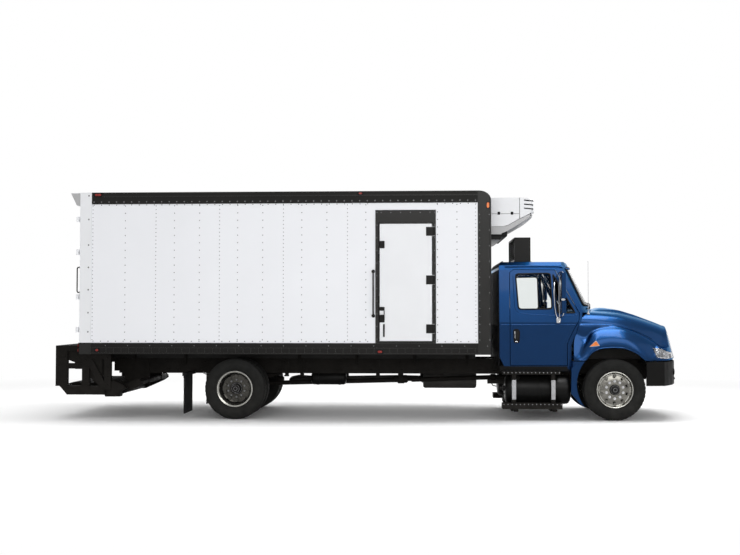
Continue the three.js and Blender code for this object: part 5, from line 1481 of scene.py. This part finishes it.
# ------------------------------------------------------------------ dashboard, steering wheel, controls
AXIS = Vector((0.819, 0, -0.574))
HUB = Vector((5240, 450, 1760))
pad, column, stalks = Form(), Form(), Form()
pad.rod(HUB - AXIS * 20, HUB + AXIS * 14, 70, 32, 9)
for angle in (30, 150, 270):
    out = Vector((0, sin(radians(angle)), 0)) + AXIS.cross(Vector((0, 1, 0))) * cos(radians(angle))
    pad.tube([HUB - AXIS * 6 + out * 50, HUB - AXIS * 12 + out * 196], 14)
pad.done("steering_wheel_pad", RUBBER, body_of("steering_wheel"), 45)
column.rod(HUB + AXIS * 34, HUB + AXIS * 262, 44, 24, 6, 58).block((5410, 5470), (370, 530), (1560, 1660), 14)
column.done("steering_column_cover", TRIM, smooth=45)
for way in (-1, 1):
    stalks.tube([HUB + AXIS * 70, HUB + AXIS * 66 + Vector((0, way * 90, 12)),
                 HUB + AXIS * 50 + Vector((0, way * 180, 30))], 8, 10)
    stalks.rod(HUB + AXIS * 50 + Vector((0, way * 176, 29)), HUB + AXIS * 46 + Vector((0, way * 206, 35)), 12, 12, 3)
stalks.done("column_stalks", RUBBER, smooth=50)
cowl = Form()
cowl.prism([(5420, 1690), (5398, 1846), (5412, 1868), (5560, 1856), (5640, 1802), (5640, 1690)], "y", (215, 700), 14)
cowl.prism([(5436, 1420), (5424, 1440), (5412, 1740), (5436, 1760)], "y", (-150, 200), 8)
cowl.prism([(5440, 1440), (5426, 1452), (5420, 1640), (5440, 1655)], "y", (-770, -220), 8)
cowl.done("instrument_cowl", TRIM)
gauges, dials, needles, knobs, vents, controls = Form(), Form(), Form(), Form(), Form(), Form()
for y, z, r in ((370, 1778, 48), (530, 1778, 48), (275, 1806, 25), (275, 1744, 25), (450, 1824, 22), (450, 1735, 22),
                (630, 1806, 25), (630, 1744, 25)):
    x = 5399 - (z - 1846) * 0.141
    gauges.lathe([(r, 0), (r + 5, -3), (r + 7, 1), (r + 7, 10), (r, 10)], (x - 2, y, z), "x", 32)
    dials.rod((x + 6, y, z), (x + 1, y, z), r, 28)
    needles.block((x - 1, x + 1), (y - 2, y + 2), (z - r * 0.1, z + r * 0.78), 0.6, ("X", 35 if r > 40 else -25))
for y in (-80, 25, 130):
    knobs.rod((5422, y, 1500), (5398, y, 1500), 20, 20, 4)
for y in (-100, -60, 110, 150):
    knobs.rod((5418, y, 1620), (5402, y, 1620), 11, 16, 3)
knobs.block((5404, 5422), (-70, 90), (1590, 1650), 5)
knobs.blocks((((5410, 5420), (y, y + 46), (1540, 1566)) for y in range(-130, 135, 66)), 4)
for y in (-700, -300, -100, 150, 760):
    x, z = 5430 if abs(y) > 200 else 5408, 1700
    vents.lathe([(44, 2), (52, -4), (58, 2), (58, 12), (44, 12)], (x, y, z), "x", 32)
    for k in (-22, 0, 22):
        reach = math.sqrt(44 ** 2 - k ** 2)
        vents.block((x + 4, x + 9), (y - reach, y + reach), (z + k - 3, z + k + 3), 1)
gauges.done("gauge_rims", CHROME)
dials.done("gauge_faces", BLACK, slot="dark_trim")
needles.done("gauge_needles", AMBER)
knobs.done("dash_knobs", RUBBER, smooth=45)
vents.done("dash_vents", RUBBER, smooth=45)
controls.tube([(5330, -40, 1070), (5318, -36, 1220), (5290, -28, 1360), (5250, -20, 1520)], 11, 12)
controls.lathe([(0, 0), (20, 6), (30, 24), (30, 44), (20, 60), (0, 66)], (5248, -20, 1510), "z", 20)
controls.lathe([(0, 0), (86, 0), (70, 34), (34, 80), (14, 96), (0, 96)], (5328, -40, 1066), "z", 24)
for y, w in ((330, 45), (450, 45), (590, 32)):
    controls.block((5640, 5652), (y - w, y + w), (1150, 1260), 5, ("Y", -25))
    controls.tube([(5650, y, 1210), (5700, y, 1300), (5715, y, 1420)], 9)
controls.done("pedals_and_lever", RUBBER, smooth=45)

# ------------------------------------------------------------------ cab linings
CAB_ROOF_IN, CAB_REAR_IN, CAB_SIDE_IN = 2600, 4470, -938
lining, mats, card = Form(), Form(), Form()
lining.block((4520, 5380), (-820, 820), (CAB_ROOF_IN - 16, CAB_ROOF_IN - 3), 5)
for visor in ((-700, -60), (60, 700)):
    lining.block((5390, 5530), visor, (CAB_ROOF_IN - 52, CAB_ROOF_IN - 34), 7, ("Y", 8))
lining.block((CAB_REAR_IN + 3, CAB_REAR_IN + 16), (-850, 850), (1110, 2380), 5)
lining.done("headliner", HEADLINER)
mats.block((CAB_REAR_IN + 10, 5720), (-880, 880), (1061, 1070), 3)
mats.blocks((((5140, 5700), (y - 7, y + 7), (1068, 1075)) for y in row(-860, 860, 40)), 2)
mats.done("cab_floor_mat", RUBBER)


def from_door(near, far):
    """The y span of something on the right door, counted inward from the door's skin."""
    return CAB_SIDE_IN + near, CAB_SIDE_IN + far


def door_rod(x, z, near, far, r, segs, bevel):
    """A round fitting on the right door, standing inward."""
    card.rod((x, CAB_SIDE_IN + near, z), (x, CAB_SIDE_IN + far, z), r, segs, bevel)


card.prism([(4650, 965), (5480, 965), (5500, 1010), (5560, 1320), (5600, 1690), (5560, 1730), (4680, 1730),
            (4645, 1690)], "y", from_door(0, 14), 5)
card.block((4760, 5280), from_door(8, 62), (1440, 1500), 16).block((4720, 5380), from_door(8, 40), (1010, 1130), 12)
door_rod(5400, 1180, 8, 22, 80, 32, 5)
door_rod(5040, 1340, 10, 34, 26, 20, 4)
card.tube([(5040, CAB_SIDE_IN + 32, 1340), (5120, CAB_SIDE_IN + 40, 1376)], 8, 10)
door_rod(5120, 1376, 36, 66, 14, 16, 4)
card.prism([(5360, 1560), (5460, 1560), (5470, 1600), (5370, 1606)], "y", from_door(8, 30), 6)
card.pair("door_inner_panel", TRIM, DOORS, 45)

# ------------------------------------------------------------------ load space
slats, liners, tracks, bows, guards = Form(), Form(), Form(), Form(), Form()
slats.blocks((((-2404, 4036), (y - 13, y + 13), (1279.5, 1289)) for y in row(-1150, 1150, 48)), 2)
slats.done("cargo_floor_slats", DECK)
for side, _ in SIDES:
    spans = ((-2400, 4036),) if side > 0 else ((-2400, DOOR_SPAN[0] - 30), (DOOR_SPAN[1] + 30, 4036))
    for a, b in spans:
        liners.block((a, b), off(side, 1188, 1198.5), (1291, 1560), 3)
        for z in (1960, 2760):
            tracks.block((a, b), off(side, 1186, 1198.5), (z, z + 128), 3)
            for x in row(a + 30, b - 30, 61):
                tracks.block((x - 8, x + 8), off(side, 1183.5, 1187), (z + 34, z + 94), 1)
        for x in row(a + 200, b - 200, 610):
            liners.block((x - 20, x + 20), off(side, 1192, 1198.5), (1560, 3590), 2)
liners.done("cargo_wall_linings", WHITE_TRIM)
tracks.done("cargo_tie_tracks", ZINC, slot="black_steel")
bows.blocks((((x - 26, x + 26), (-1190, 1190), (3690, 3717)) for x in row(-2250, 3700, 610)), 5)
bows.blocks((((x - 60, x + 60), (-180, 180), (3664, 3692)) for x in (-1600, 600, 2800)), 10)
bows.done("cargo_roof_bows", WHITE_TRIM)
Form().prism([(4040, 3280), (3860, 3280), (3790, 3380), (3790, 3640), (4040, 3660)], "y", (-760, 760), 14).done(
    "evaporator_case", WHITE_TRIM)
for y in (-460, 0, 460):
    for r in (60, 110, 160):
        guards.lathe([(r, 0), (r + 7, -4), (r + 14, 0), (r + 7, 4)], (3784, y, 3510), "x", 32)
    for k in range(4):
        dy, dz = 170 * cos(radians(45 * k)), 122 * sin(radians(45 * k))
        guards.tube([(3780, y - dy, 3510 - dz), (3780, y + dy, 3510 + dz)], 5)
guards.done("evaporator_fan_guards", BLACK, smooth=50, slot="dark_trim")

# ------------------------------------------------------------------ CAD solids that stay, with their finish
for mat, names in (
        (STEEL, "chassis_frame front_axle knuckle_right knuckle_left rear_axle driveshaft liftgate_mount liftgate_arms "
                "liftgate_hinge_bar liftgate_platform_inner liftgate_platform_outer liftgate_dock_frame "
                "tank_steps_right tank_steps_left"),
        (IRON, "engine_block"),
        (WHITE, "box_wall_right box_wall_left"),
        (RAIL, "box_wall_front side_door_frame"),
        (ROOF, "box_roof"),
        (BLACK, "box_floor roof_box fuel_tank_right fuel_tank_left"),
        (BUMPER, "front_bumper"),
        (WHITE_TRIM, "box_rear_frame side_door rear_door_right rear_door_left refrigeration_unit"),
        (BLUE, "cab_shell cab_door_right cab_door_left hood mirror_right mirror_left"),
        (GLASS, "windshield door_glass_right door_glass_left"),
        (TRIM, "dashboard steering_wheel"),
        (CLOTH, "seats"),
        (CHROME, "grille"),
        (LENS, "headlamp_right headlamp_left"),
        (ALLOY, "wheel_front_right wheel_front_left wheels_rear_right wheels_rear_left"),
        (TYRE, "tyre_front_right tyre_front_left tyre_rear_outer_right tyre_rear_outer_left tyre_rear_inner_right "
               "tyre_rear_inner_left"),
        (RUBBER, "mud_flap_right mud_flap_left")):
    for node in names.split():
        paint(node, mat)
